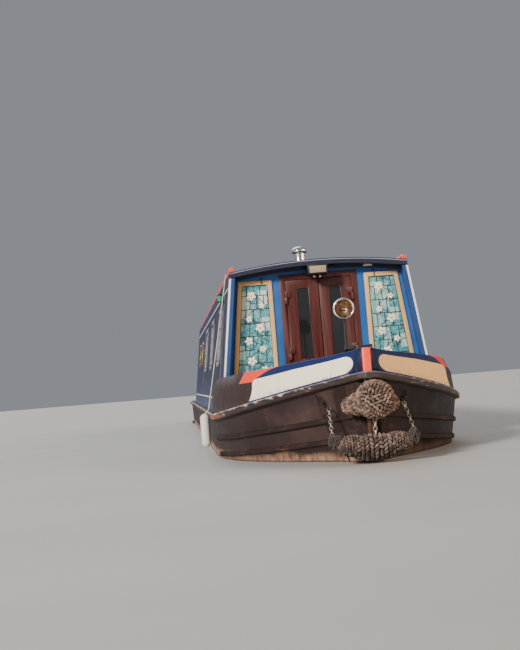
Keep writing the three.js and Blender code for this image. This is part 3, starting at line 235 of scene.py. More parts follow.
class Mixer:
    """A material's node tree, with a short call for each step that the finishes need."""

    def __init__(self, name: str) -> None:
        """Starts a material with one principled shader.

        Args:
            name: The material's name.
        """
        self.material: Material = bpy.data.materials.new(name)
        self.material.use_nodes = True
        self.tree = self.material.node_tree
        self.shader: Node = self.tree.nodes["Principled BSDF"]

    def put(self, socket: NodeSocket, value: Value) -> None:
        """Links an input to an output, or sets its own value.

        Args:
            socket: The input.
            value: An output, a number, a vector or a colour.
        """
        if isinstance(value, NodeSocket):
            self.tree.links.new(value, socket)
        elif isinstance(value, (int, float)):
            socket.default_value = value
        else:
            socket.default_value = (*value, 1.0)[:len(socket.default_value)]

    def add(
        self, kind: str, inputs: dict[str | int, Value], out: str | int = 0, **settings: str,
    ) -> NodeSocket:
        """Adds a node.

        Args:
            kind: Its type, without the prefix that all shader nodes share.
            inputs: What its inputs get.
            out: The output that is wanted.
            settings: Its own settings.

        Returns:
            That output.
        """
        node = self.tree.nodes.new(f"ShaderNode{kind}")
        for name, setting in settings.items():
            setattr(node, name, setting)
        for key, value in inputs.items():
            self.put(node.inputs[key], value)
        return node.outputs[out]

    def surface(self, **sockets: Value) -> None:
        """Sets the shader's inputs, each named in lower case with underscores."""
        for name, value in sockets.items():
            self.put(self.shader.inputs[name.replace("_", " ").title().replace("Ior", "IOR")], value)

    def place(self, stretch: Point = (1, 1, 1), turn: Point = (0, 0, 0)) -> NodeSocket:
        """Object coordinates, stretched and turned."""
        source = self.add("TexCoord", {}, "Object")
        return self.add("Mapping", {"Vector": source, "Scale": stretch, "Rotation": turn})

    def parts(self, vector: NodeSocket) -> tuple[NodeSocket, ...]:
        """The three numbers of a vector."""
        return tuple(self.add("SeparateXYZ", {0: vector}).node.outputs)

    def axes(self) -> tuple[NodeSocket, ...]:
        """The object's x, y and z."""
        return self.parts(self.add("TexCoord", {}, "Object"))

    def attribute(self, name: str) -> tuple[NodeSocket, ...]:
        """The three numbers of a vector attribute."""
        return self.parts(self.add("Attribute", {}, "Vector", attribute_name=name))

    def calc(self, kind: str, a: NodeSocket | float, b: NodeSocket | float = 0.0) -> NodeSocket:
        """One step of arithmetic on two numbers."""
        return self.add("Math", {0: a, 1: b}, operation=kind.upper())

    def chain(self, value: NodeSocket | float, *steps: tuple[str, NodeSocket | float]) -> NodeSocket:
        """Several steps of arithmetic, one after another.

        Args:
            value: The number to start from.
            steps: Each step's operation and second number.

        Returns:
            The last result.
        """
        for kind, number in steps:
            value = self.calc(kind, value, number)
        return value

    def all_of(self, first: NodeSocket, *others: NodeSocket) -> NodeSocket:
        """One where every mask is one."""
        return self.chain(first, *(("multiply", other) for other in others))

    def weighed(self, a: NodeSocket, share_a: float, b: NodeSocket, share_b: float) -> NodeSocket:
        """The sum of a share of one number and a share of another."""
        return self.calc("add", self.calc("multiply", a, share_a), self.calc("multiply", b, share_b))

    def cloud(
        self, scale: float, detail: float = 4.0, rough: float = 0.55, stretch: Point = (1, 1, 1),
        turn: Point = (0, 0, 0),
    ) -> NodeSocket:
        """Cloudy noise from 0 to 1.

        Args:
            scale: How many clouds there are in about a metre.
            detail: How many finer layers it has.
            rough: How strong those are.
            stretch: How much closer together the clouds lie along each axis.
            turn: The pattern's turn.

        Returns:
            The noise.
        """
        inputs = {"Vector": self.place(stretch, turn), "Scale": scale, "Detail": detail, "Roughness": rough}
        return self.add("TexNoise", inputs, "Fac")

    def ramp(self, fac: NodeSocket, *stops: tuple[float, Colour]) -> NodeSocket:
        """Colours along a number.

        Args:
            fac: The number.
            stops: Places and their colours, in rising order.

        Returns:
            The colour.
        """
        out = self.add("ValToRGB", {"Fac": fac}, "Color")
        band = out.node.color_ramp.elements
        while len(band) < len(stops):
            band.new(0.5)
        for element, (place, colour) in zip(band, stops):
            element.position = place
            element.color = (*colour, 1.0)
        return out

    def span(
        self, value: NodeSocket, low: float, high: float, start: float = 0.0, end: float = 1.0,
    ) -> NodeSocket:
        """Maps low..high smoothly to start..end and holds the ends."""
        ends = {"From Min": low, "From Max": high, "To Min": start, "To Max": end}
        return self.add("MapRange", {"Value": value, **ends}, "Result", interpolation_type="SMOOTHSTEP")

    def blend(self, fac: NodeSocket | float, a: Value, b: Value) -> NodeSocket:
        """Colour a where the factor is 0 and colour b where it is 1."""
        return self.add("Mix", {"Factor": fac, 6: a, 7: b}, 2, data_type="RGBA")

    def stain(
        self, base: Value, colour: Value, where: NodeSocket, low: float, high: float, start: float = 0.0,
        end: float = 1.0,
    ) -> NodeSocket:
        """Lays one colour over another as a number passes from low to high.

        Args:
            base: The colour underneath.
            colour: The colour on top.
            where: The number.
            low: Where the change begins.
            high: Where it ends.
            start: How much of the top colour there is up to low.
            end: How much of it there is from high.

        Returns:
            The mixed colour.
        """
        return self.blend(self.span(where, low, high, start, end), base, colour)

    def weather(self, base: Value, grime: float) -> NodeSocket:
        """Adds rain streaks and dust to a colour.

        Args:
            base: The clean colour.
            grime: How strong the dirt is, from 0 to 1.

        Returns:
            The dirty colour.
        """
        streaks = self.span(self.cloud(3.2, 5.0, 0.6, (5, 5, 0.7)), 0.5, 0.82)
        dust = self.span(self.cloud(2.3, 6.0, 0.6), 0.3, 0.75)
        return self.blend(self.chain(streaks, ("multiply", dust), ("multiply", grime)), base, GRIME)

    def relief(self, height: NodeSocket, depth: float, strength: float) -> None:
        """Gives the surface a relief of a depth in metres."""
        inputs = {"Distance": depth, "Strength": strength, "Height": height}
        self.surface(normal=self.add("Bump", inputs, "Normal"))


@dataclass(frozen=True)
class Finish:
    """What every finish has: its material's name, and a way to mix the material."""

    name: str

    def lay(self, mix: Mixer) -> None:
        """Sets up the material's nodes."""
        raise NotImplementedError

    def make(self) -> Material:
        """Builds the material.

        Returns:
            The material.
        """
        mix = Mixer(self.name)
        self.lay(mix)
        return mix.material


@dataclass(frozen=True)
class GlossPaint(Finish):
    """Brushed coach paint, slightly uneven and dusty."""

    colour: Colour
    rough: float = 0.28
    grime: float = 0.5
    coat: float = 0.5

    def lay(self, mix: Mixer) -> None:
        """Lays the paint.

        Args:
            mix: The material in the making.
        """
        base = mix.stain(self.colour, shaded(self.colour, 0.8), mix.cloud(1.7, 3.0), 0.3, 0.7)
        patchy = mix.cloud(11.0, 5.0, 0.65)
        mix.surface(
            base_color=mix.weather(base, self.grime), coat_weight=self.coat, coat_roughness=0.12,
            roughness=mix.span(patchy, 0.3, 0.8, self.rough, self.rough + 0.2),
        )
        mix.relief(mix.cloud(55.0, 2.0, stretch=(1, 1, 6)), 0.0006, 0.35)


@dataclass(frozen=True)
class HullBlacking(Finish):
    """Bitumen over steel: brown-black, scuffed, with painted shade darkening the port side, and mud drying
    above the water.
    """

    name: str = "hull_blacking"
    port_dark: Colour = (0.007, 0.005, 0.006)
    mud_foot: float = WATERLINE - 0.035
    mud_top: float = WATERLINE + 0.025
    wet_top: float = WATERLINE + 0.02

    def lay(self, mix: Mixer) -> None:
        """Lays the blacking, its scuffs and rust, and the mud.

        Args:
            mix: The material in the making.
        """
        _, y, z = mix.axes()
        tone = mix.cloud(1.6, 8.0, 0.62, (1, 1, 2.2))
        base = mix.ramp(tone, (0.28, (0.013, 0.007, 0.008)), (0.52, BLACKING), (0.78, (0.07, 0.04, 0.037)))
        # painted shade: the port side, which lies in shade, is darkened
        base = mix.stain(base, self.port_dark, y, -0.05, 0.12, 0.0, 0.9)
        streaks = mix.cloud(2.6, 6.0, 0.6, (6, 6, 0.5))
        base = mix.stain(base, (0.13, 0.09, 0.08), streaks, 0.55, 0.85, 0.0, 0.3)
        scuffs = mix.cloud(3.1, 7.0, 0.7, (1, 1, 9))
        base = mix.stain(base, (0.13, 0.085, 0.065), scuffs, 0.64, 0.72, 0.0, 0.5)
        base = mix.stain(base, RUST, mix.cloud(7.5, 6.0, 0.7), 0.68, 0.77, 0.0, 0.6)
        ragged = mix.calc("subtract", z, mix.calc("multiply", mix.cloud(3.0, 8.0, 0.7, (1, 1, 3)), 0.13))
        dried = mix.span(ragged, self.mud_foot, self.mud_top, 0.85, 0.0)
        dried = mix.calc("multiply", dried, mix.span(y, -0.1, 0.3, 1.0, 0.22))
        crust = mix.cloud(5.0, 8.0, 0.75, (3, 3, 1))
        mud = mix.ramp(crust, (0.34, (0.06, 0.032, 0.024)), (0.54, MUD), (0.76, (0.52, 0.35, 0.26)))
        base = mix.blend(dried, base, mud)
        base = mix.stain(base, (0.03, 0.022, 0.014), z, WATERLINE, self.wet_top, 0.9, 0.0)
        mix.surface(base_color=base, roughness=mix.span(tone, 0.3, 0.75, 0.5, 0.8), specular_ior_level=0.3)
        mix.relief(mix.cloud(26.0, 6.0, 0.7), 0.004, 0.5)


@dataclass(frozen=True)
class StrakeIron(Finish):
    """A rubbing strake: black paint scraped to pale metal and rust by lock walls."""

    name: str = "strake_iron"
    worn_from: float = 0.705
    stops: tuple[tuple[float, Colour], ...] = (
        (-0.12, (0.022, 0.013, 0.012)), (0.0, (0.05, 0.029, 0.025)), (0.06, RUST), (0.11, (0.42, 0.3, 0.23)),
        (0.17, PALE_WEAR),
    )

    def lay(self, mix: Mixer) -> None:
        """Lays the worn paint.

        Args:
            mix: The material in the making.
        """
        grain = mix.cloud(5.5, 9.0, 0.72, (1.4, 1.4, 5))
        worn = mix.weighed(grain, 0.75, mix.cloud(1.9, 4.0, 0.6, (0.8, 0.8, 0.8)), 0.45)
        mix.surface(
            base_color=mix.ramp(worn, *((self.worn_from + step, colour) for step, colour in self.stops)),
            metallic=mix.span(worn, self.worn_from + 0.1, self.worn_from + 0.2, 0.0, 0.35),
            roughness=0.75, specular_ior_level=0.2,
        )
        mix.relief(grain, 0.003, 0.7)


@dataclass(frozen=True)
class GuardIron(Finish):
    """The guard: painted iron, scraped pale along its upper edge and rusty at the bow's shoulders.

    It reads the attribute "hull_place": distance aft and depth below the hull's top edge, in metres,
    and 1 on the port side.
    """

    name: str = "guard_iron"
    edge: float = 0.028
    shoulder: float = 2.5
    shoulder_reach: float = 1.1
    lined: Colour = (0.12, 0.13, 0.27)

    def lay(self, mix: Mixer) -> None:
        """Lays the paint, the rust, the painted highlight along the top edge and the scrapes.

        Args:
            mix: The material in the making.
        """
        aft, below, port = mix.attribute("hull_place")
        grain = mix.cloud(6.0, 9.0, 0.72, (1.1, 1.1, 6))
        base = mix.ramp(
            grain, (0.3, (0.014, 0.009, 0.01)), (0.55, (0.038, 0.022, 0.02)), (0.8, (0.09, 0.05, 0.036)),
        )
        off = mix.chain(aft, ("subtract", self.shoulder), ("absolute", 0.0))
        near = mix.span(off, 0.2, self.shoulder_reach, 0.24, 0.0)
        base = mix.stain(base, (0.3, 0.1, 0.045), mix.calc("add", grain, near), 0.62, 0.74)
        spared = mix.calc("add", mix.span(aft, 0.2, 0.6, 0.1, 0.0), mix.calc("multiply", port, 0.035))
        lip = mix.calc("subtract", mix.span(below, 0.0, self.edge, 0.15, 0.0), spared)
        rubbed = mix.calc("add", grain, lip)
        # painted highlight: a pale lavender line along the guard's lit top edge
        base = mix.stain(base, self.lined, below, 0.006, 0.011, 0.75, 0.0)
        base = mix.stain(base, (0.42, 0.3, 0.26), rubbed, 0.585, 0.66)
        bare = mix.span(rubbed, 0.66, 0.7)
        base = mix.blend(bare, base, (0.78, 0.7, 0.64))
        mix.surface(base_color=base, roughness=0.55, metallic=mix.calc("multiply", bare, 0.3))
        mix.relief(grain, 0.003, 0.6)


@dataclass(frozen=True)
class BowPaint(Finish):
    """The bow's livery: a cream panel in a blue band, a coral scroll and brown flanks; the panel's port half
    has a warmer, darker copy of the cream as painted shade.

    It reads the attribute "bow_place": distance aft, depth below the top edge and height above
    the foot, all in metres.
    """

    name: str = "bow_paint"
    band: float = 0.022
    band_growth: float = 0.031
    foot_line: float = 0.019
    nose_at: float = 0.18
    nose_round: float = 0.09
    stem_to: float = 0.078
    rear_at: float = 1.3
    rear_bulge: float = 0.35
    scroll_from: float = 0.98
    scroll_full: float = 1.32
    scroll_to: float = 1.59
    scroll_slant: float = 0.3
    scroll_deep: float = 0.08

    def panel(self, mix: Mixer, aft: NodeSocket, below: NodeSocket, above: NodeSocket) -> NodeSocket:
        """How far a point is from the middle of the cream panel, past which the round nose ends at 1.

        Args:
            mix: The material in the making.
            aft: The distance aft.
            below: The depth below the top edge.
            above: The height above the foot.

        Returns:
            The distance, squared.
        """
        inner = mix.chain(aft, ("multiply", self.band_growth), ("add", self.band))
        height = mix.chain(below, ("add", above), ("subtract", inner), ("subtract", self.foot_line))
        share = mix.calc("divide", mix.calc("subtract", below, inner), height)
        across = mix.chain(share, ("multiply", 2.0), ("subtract", 1.0))
        along = mix.chain(self.nose_at, ("subtract", aft), ("maximum", 0.0), ("divide", self.nose_round))
        return mix.calc("add", mix.calc("power", along, 2.0), mix.calc("multiply", across, across))

    def scroll(self, mix: Mixer, aft: NodeSocket, below: NodeSocket) -> NodeSocket:
        """The coral scroll along the top edge.

        Args:
            mix: The material in the making.
            aft: The distance aft.
            below: The depth below the top edge.

        Returns:
            One on the scroll.
        """
        run = mix.chain(aft, ("subtract", self.scroll_from), ("divide", self.scroll_full - self.scroll_from))
        run = mix.chain(run, ("maximum", 0.0), ("minimum", 1.0))
        depth = mix.chain(run, ("power", 1.8), ("multiply", self.scroll_deep))
        end = mix.chain(below, ("multiply", self.scroll_slant), ("add", self.scroll_to))
        return mix.all_of(
            mix.calc("less_than", below, depth), mix.calc("greater_than", aft, self.scroll_from),
            mix.calc("less_than", aft, end),
        )

    def lay(self, mix: Mixer) -> None:
        """Lays the livery and its chips and scratches.

        Args:
            mix: The material in the making.
        """
        aft, below, above = mix.attribute("bow_place")
        tall = mix.calc("add", below, above)
        waist = mix.chain(below, ("divide", tall), ("subtract", 0.5), ("power", 2.0))
        rear = mix.chain(waist, ("multiply", self.rear_bulge), ("add", self.rear_at))
        ahead = mix.calc("less_than", aft, rear)
        panel = mix.all_of(mix.calc("less_than", self.panel(mix, aft, below, above), 1.0), ahead)
        # painted shade: the port half of the panel takes the shaded copy of the cream
        cream = mix.blend(mix.calc("greater_than", mix.axes()[1], 0.0), CREAM, SHADED_PORT_CREAM)
        base = mix.blend(ahead, BROWN, BAND_BLUE)
        base = mix.blend(panel, base, cream)
        base = mix.blend(mix.calc("less_than", aft, self.stem_to), base, NAVY)
        base = mix.blend(self.scroll(mix, aft, below), base, CORAL)
        base = mix.stain(base, (0.2, 0.16, 0.14), mix.cloud(6.0, 8.0, 0.7, (1, 1, 8)), 0.66, 0.74, 0.0, 0.55)
        chips = mix.span(mix.cloud(38.0, 4.0, 0.7), 0.52, 0.6)
        low = mix.all_of(mix.span(above, 0.0, 0.06, 1.0, 0.0), chips)
        base = mix.blend(low, base, (0.13, 0.1, 0.09))
        mix.surface(
            base_color=mix.weather(base, 0.3), specular_ior_level=0.3,
            roughness=mix.span(mix.cloud(9.0), 0.3, 0.75, 0.45, 0.65),
        )
        mix.relief(mix.cloud(60.0, 3.0), 0.0008, 0.4)


@dataclass(frozen=True)
class StemPaint(Finish):
    """The stem: coral above the guard iron and blacking under it."""

    name: str = "stem_paint"
    change_z: float = 1.236

    def lay(self, mix: Mixer) -> None:
        """Lays the two paints and their chips.

        Args:
            mix: The material in the making.
        """
        chips = mix.cloud(30.0, 6.0, 0.7)
        base = mix.blend(mix.calc("greater_than", mix.axes()[2], self.change_z), BLACKING, CORAL)
        base = mix.stain(base, (0.09, 0.05, 0.04), chips, 0.6, 0.68, 0.0, 0.8)
        mix.surface(base_color=mix.weather(base, 0.5), roughness=0.42)
        mix.relief(chips, 0.001, 0.6)


@dataclass(frozen=True)
class BulkheadPaint(Finish):
    """The front bulkhead: bright blue under a navy band that follows the roof, part navy paint and part
    painted shadow of the roof's overhang.
    """

    name: str = "bulkhead_paint"
    band: float = 0.08

    def lay(self, mix: Mixer) -> None:
        """Lays the blue and the band.

        Args:
            mix: The material in the making.
        """
        _, y, z = mix.axes()
        curve = mix.chain(y, ("divide", LINES.cabin_top), ("power", 2.0), ("multiply", LINES.camber))
        line = mix.calc("subtract", LINES.roof_edge + LINES.camber - self.band, curve)
        blue = mix.stain(BRIGHT_BLUE, shaded(BRIGHT_BLUE, 0.72), mix.cloud(2.1, 4.0), 0.35, 0.7)
        # the navy band is part paint and part painted shadow under the roof's overhang
        base = mix.blend(mix.calc("greater_than", z, line), blue, NAVY)
        mix.surface(
            base_color=mix.weather(base, 0.5), coat_weight=0.2, coat_roughness=0.2,
            roughness=mix.span(mix.cloud(12.0), 0.3, 0.75, 0.38, 0.55),
        )
        mix.relief(mix.cloud(48.0, 3.0, stretch=(1, 1, 5)), 0.0008, 0.4)


@dataclass(frozen=True)
class CabinPaint(Finish):
    """The cabin's sides: navy panels between blue borders, edged with a cream line."""

    name: str = "cabin_paint"
    low: float = 1.09
    high: float = 2.07
    edges: tuple[float, ...] = (2.98, 3.9, 11.6, 16.95)
    border: float = 0.055
    line: float = 0.012

    def inside(self, mix: Mixer, start: float, end: float) -> NodeSocket:
        """How far inside a panel a point lies.

        Args:
            mix: The material in the making.
            start: The panel's front edge, aft of the stem.
            end: Its rear edge.

        Returns:
            The distance, negative outside the panel.
        """
        x, _, z = mix.axes()
        return mix.chain(
            mix.calc("subtract", x_at(start), x), ("minimum", mix.calc("subtract", x, x_at(end))),
            ("minimum", mix.calc("subtract", z, self.low)), ("minimum", mix.calc("subtract", self.high, z)),
        )

    def lay(self, mix: Mixer) -> None:
        """Lays the panels, their lines and the borders.

        Args:
            mix: The material in the making.
        """
        half = self.border / 2
        first, *others = (self.inside(mix, a + half, b - half) for a, b in zip(self.edges, self.edges[1:]))
        inside = mix.chain(first, *(("maximum", other) for other in others))
        base = mix.blend(mix.calc("greater_than", inside, 0.0), BAND_BLUE, CREAM)
        base = mix.blend(mix.calc("greater_than", inside, self.line), base, NAVY)
        mix.surface(
            base_color=mix.weather(base, 0.4), specular_ior_level=0.2,
            roughness=mix.span(mix.cloud(5.0), 0.3, 0.75, 0.36, 0.5),
        )
        mix.relief(mix.cloud(2.2, 2.0), 0.003, 0.25)


@dataclass(frozen=True)
class Varnished(Finish):
    """Hardwood with its grain along one axis, under old varnish."""

    name: str = "mahogany"
    dark: Colour = (0.022, 0.004, 0.005)
    light: Colour = (0.075, 0.0115, 0.011)
    stretch: Point = (16, 16, 1.1)

    def lay(self, mix: Mixer) -> None:
        """Lays the grain and the varnish.

        Args:
            mix: The material in the making.
        """
        flow = mix.cloud(2.6, 6.0, 0.6, self.stretch)
        fine = mix.cloud(2.0, 4.0, 0.7, tuple(4 * s for s in self.stretch))
        grain = mix.weighed(flow, 0.7, fine, 0.3)
        base = mix.ramp(grain, (0.3, self.dark), (0.52, self.light), (0.72, shaded(self.light, 0.6)))
        mix.surface(
            base_color=mix.weather(base, 0.35), coat_weight=0.2, coat_roughness=0.25,
            roughness=mix.span(flow, 0.3, 0.7, 0.34, 0.55),
        )
        mix.relief(fine, 0.0008, 0.5)


@dataclass(frozen=True)
class PlaitedRope(Finish):
    """Coir rope: hairy yarns, with a painted highlight where they stand up and painted shade in the hollows.

    A lifted rope reads the attribute "lift": how far a point stands out and its stitch's own shade,
    both from 0 to 1. A rope given a height grows darker towards the bottom below it.
    """

    colour: Colour
    hair: float = 150.0
    lifted: bool = False
    wet_z: float = 0.0
    warmth: Colour = (2.9, 2.1, 1.5)

    def lay(self, mix: Mixer) -> None:
        """Lays the yarns and their ageing.

        Args:
            mix: The material in the making.
        """
        yarns = mix.cloud(self.hair, 4.0, 0.7)
        strands = mix.cloud(self.hair * 0.8, 3.0, 0.6, (0.35, 0.35, 1.4), (0.5, 0.4, 0))
        age = mix.cloud(14.0, 5.0, 0.7)
        tone = mix.weighed(strands, 0.6, yarns, 0.4)
        if self.lifted:
            lift, shade, _ = mix.attribute("lift")
            # painted shade in the hollows and painted highlight on the stitches' tops, from how far each
            # point stands out
            hollow_shade_and_top_highlight = mix.span(lift, 0.64, 1.0, -0.5, 0.08)
            tone = mix.chain(tone, ("add", hollow_shade_and_top_highlight), ("add", mix.span(shade, 0.0, 1.0, -0.13, 0.13)))
        # darker towards the bottom, below the given height
        if self.wet_z:
            tone = mix.calc("add", tone, mix.span(mix.axes()[2], self.wet_z, self.wet_z + 0.13, -0.2, 0.0))
        dark = shaded(self.colour, 0.1)
        base = mix.ramp(tone, (0.28, dark), (0.5, self.colour), (0.76, shaded(self.colour, 2.9)))
        base = mix.stain(base, shaded(self.colour, 0.35), age, 0.5, 0.72, 0.0, 0.6)
        warm = tuple(c * k for c, k in zip(self.colour, self.warmth))
        base = mix.stain(base, mix.ramp(tone, (0.3, dark), (0.7, warm)), age, 0.46, 0.3, 0.0, 0.4)
        mix.surface(base_color=base, roughness=0.92, sheen_weight=0.2, specular_ior_level=0.2)
        mix.relief(yarns, 0.003, 0.9)


@dataclass(frozen=True)
class Metal(Finish):
    """Bare or plated metal, finely scratched and dull in patches."""

    colour: Colour
    rough: float = 0.25
    tarnish: Colour = (0.08, 0.06, 0.05)
    age: float = 0.3

    def lay(self, mix: Mixer) -> None:
        """Lays the metal and its tarnish.

        Args:
            mix: The material in the making.
        """
        patch = mix.cloud(14.0, 6.0, 0.65)
        mix.surface(
            base_color=mix.stain(self.colour, self.tarnish, patch, 0.5, 0.8, 0.0, self.age), metallic=1.0,
            roughness=mix.span(patch, 0.3, 0.8, self.rough, self.rough + 0.25),
        )
        mix.relief(mix.cloud(90.0, 2.0, stretch=(1, 1, 7)), 0.0004, 0.3)


@dataclass(frozen=True)
class Glazing(Finish):
    """Glass over a dark inside: a tint, a gloss and a little dirt."""

    tint: Colour = (0.02, 0.022, 0.026)
    rough: float = 0.06

    def lay(self, mix: Mixer) -> None:
        """Lays the tint and the gloss.

        Args:
            mix: The material in the making.
        """
        haze = mix.cloud(6.0, 4.0, 0.6)
        dusty = tuple(channel * 1.6 + 0.01 for channel in self.tint)
        mix.surface(
            base_color=mix.stain(self.tint, dusty, haze, 0.45, 0.8, 0.0, 0.4), ior=1.5, coat_weight=1.0,
            coat_roughness=0.03, roughness=mix.span(haze, 0.3, 0.8, self.rough, self.rough + 0.12),
        )
        mix.relief(mix.cloud(3.0, 2.0), 0.004, 0.2)


@dataclass(frozen=True)
class CathedralGlass(Finish):
    """Coloured leaded quarries: each its own shade of sea green, rippled, with a faint painted glow."""

    name: str = "leaded_glass"
    quarry: Point = (1, 13.0, 8.4)
    shades: tuple[tuple[float, Colour], ...] = (
        (0.0, (0.015, 0.13, 0.19)), (0.22, (0.06, 0.34, 0.38)), (0.46, (0.03, 0.22, 0.3)),
        (0.7, (0.24, 0.48, 0.46)), (1.0, (0.6, 0.72, 0.67)),
    )

    def lay(self, mix: Mixer) -> None:
        """Lays the quarries' shades and the ripple.

        Args:
            mix: The material in the making.
        """
        cell = mix.add("VectorMath", {0: mix.place(self.quarry)}, "Vector", operation="FLOOR")
        shade = mix.ramp(mix.add("TexWhiteNoise", {"Vector": cell}, "Value"), *self.shades)
        ripple = mix.cloud(40.0, 3.0, 0.6)
        base = mix.stain(shade, (0.6, 0.78, 0.74), ripple, 0.45, 0.75, 0.0, 0.55)
        # painted light: a faint glow in the glass's own colour, though no lamp lights it
        mix.surface(
            base_color=base, roughness=0.16, ior=1.5, coat_weight=0.8, coat_roughness=0.08,
            emission_color=base, emission_strength=0.05,
        )
        mix.relief(ripple, 0.003, 0.6)


@dataclass(frozen=True)
class DeckPaint(Finish):
    """Non-slip deck paint: fine sand under a worn red-brown coat."""

    name: str = "deck_paint"
    colour: Colour = (0.13, 0.045, 0.032)

    def lay(self, mix: Mixer) -> None:
        """Lays the sand and the worn paint.

        Args:
            mix: The material in the making.
        """
        walked = mix.cloud(3.4, 6.0, 0.65)
        mix.surface(
            base_color=mix.stain(self.colour, (0.16, 0.11, 0.09), walked, 0.5, 0.78, 0.0, 0.6),
            roughness=mix.span(walked, 0.3, 0.75, 0.55, 0.8),
        )
        mix.relief(mix.cloud(320.0, 2.0, 0.6), 0.0012, 0.7)


FINISHES: tuple[Finish, ...] = (
    HullBlacking(), GuardIron(), StrakeIron(), BowPaint(), StemPaint(), BulkheadPaint(), CabinPaint(),
    DeckPaint(), CathedralGlass(), Varnished(),
    Varnished("floor_boards", (0.08, 0.045, 0.025), (0.2, 0.12, 0.07), (1.1, 16, 16)),
    Varnished("ash_wood", (0.25, 0.15, 0.08), (0.45, 0.3, 0.17), (1.2, 18, 18)),
    GlossPaint("roof_paint", (0.012, 0.02, 0.06), 0.68, 0.7, 0.0),
    GlossPaint("inner_blue", (0.01, 0.06, 0.24), 0.4, 0.6, 0.2),
    GlossPaint("navy_paint", (0.004, 0.007, 0.036), 0.6, 0.15, 0.0),
    GlossPaint("coral_paint", CORAL, 0.3, 0.4),
    GlossPaint("cream_paint", (0.72, 0.47, 0.21), 0.4, 0.45, 0.1),
    GlossPaint("white_paint", (0.95, 0.93, 0.9), 0.3, 0.15),
    # painted highlight: pale lavender for the bead along the roof's lit front edge
    GlossPaint("edge_paint", (0.34, 0.38, 0.55), 0.25, 0.4),
    GlossPaint("black_paint", (0.006, 0.006, 0.007), 0.45, 0.04, 0.0),
    GlossPaint("ivory_plate", (0.34, 0.28, 0.2), 0.5, 0.8, 0.0),
    GlossPaint("fender_skin", (0.72, 0.71, 0.68), 0.5, 0.8, 0.1),
    GlossPaint("engine_iron", (0.03, 0.06, 0.045), 0.5, 0.8, 0.0),
    PlaitedRope("fender_rope", (0.112, 0.073, 0.059), lifted=True),
    PlaitedRope("damp_rope", (0.08, 0.055, 0.048), lifted=True, wet_z=0.63),
    # painted shade: the near-black core shows as dark gaps between the stitches
    PlaitedRope("fender_core", (0.012, 0.009, 0.008)),
    PlaitedRope("tarred_rope", (0.045, 0.034, 0.03), 220.0),
    PlaitedRope("fender_line", (0.6, 0.56, 0.5), 260.0),
    Metal("chrome", (0.82, 0.82, 0.8), 0.12),
    Metal("lamp_reflector", (0.5, 0.38, 0.28), 0.25, (0.2, 0.12, 0.08), 0.6),
    Metal("brass", (0.72, 0.5, 0.2), 0.2, (0.2, 0.12, 0.05)),
    Metal("bronze", (0.42, 0.27, 0.13), 0.4, (0.1, 0.12, 0.08), 0.7),
    Metal("galvanised_chain", (0.5, 0.45, 0.41), 0.5, (0.2, 0.13, 0.09), 0.7),
    Metal("rusty_chain", (0.22, 0.085, 0.045), 0.75, (0.1, 0.04, 0.025), 0.8),
    Metal("window_alloy", (0.4, 0.4, 0.42), 0.35),
    Metal("lead_came", (0.07, 0.07, 0.075), 0.5),
    # painted shade: the near-black tints of the window and door glass stand in for the unlit cabin behind
    # them
    Glazing("window_glass"),
    Glazing("door_glass", (0.012, 0.012, 0.014), 0.05),
    Glazing("petal_glass", (0.9, 0.88, 0.76), 0.25),
    Glazing("amber_glass", (0.5, 0.26, 0.06), 0.15),
    Glazing("red_lens", (0.4, 0.01, 0.01), 0.1),
    Glazing("green_lens", (0.01, 0.3, 0.16), 0.1),
)


# Mesh making


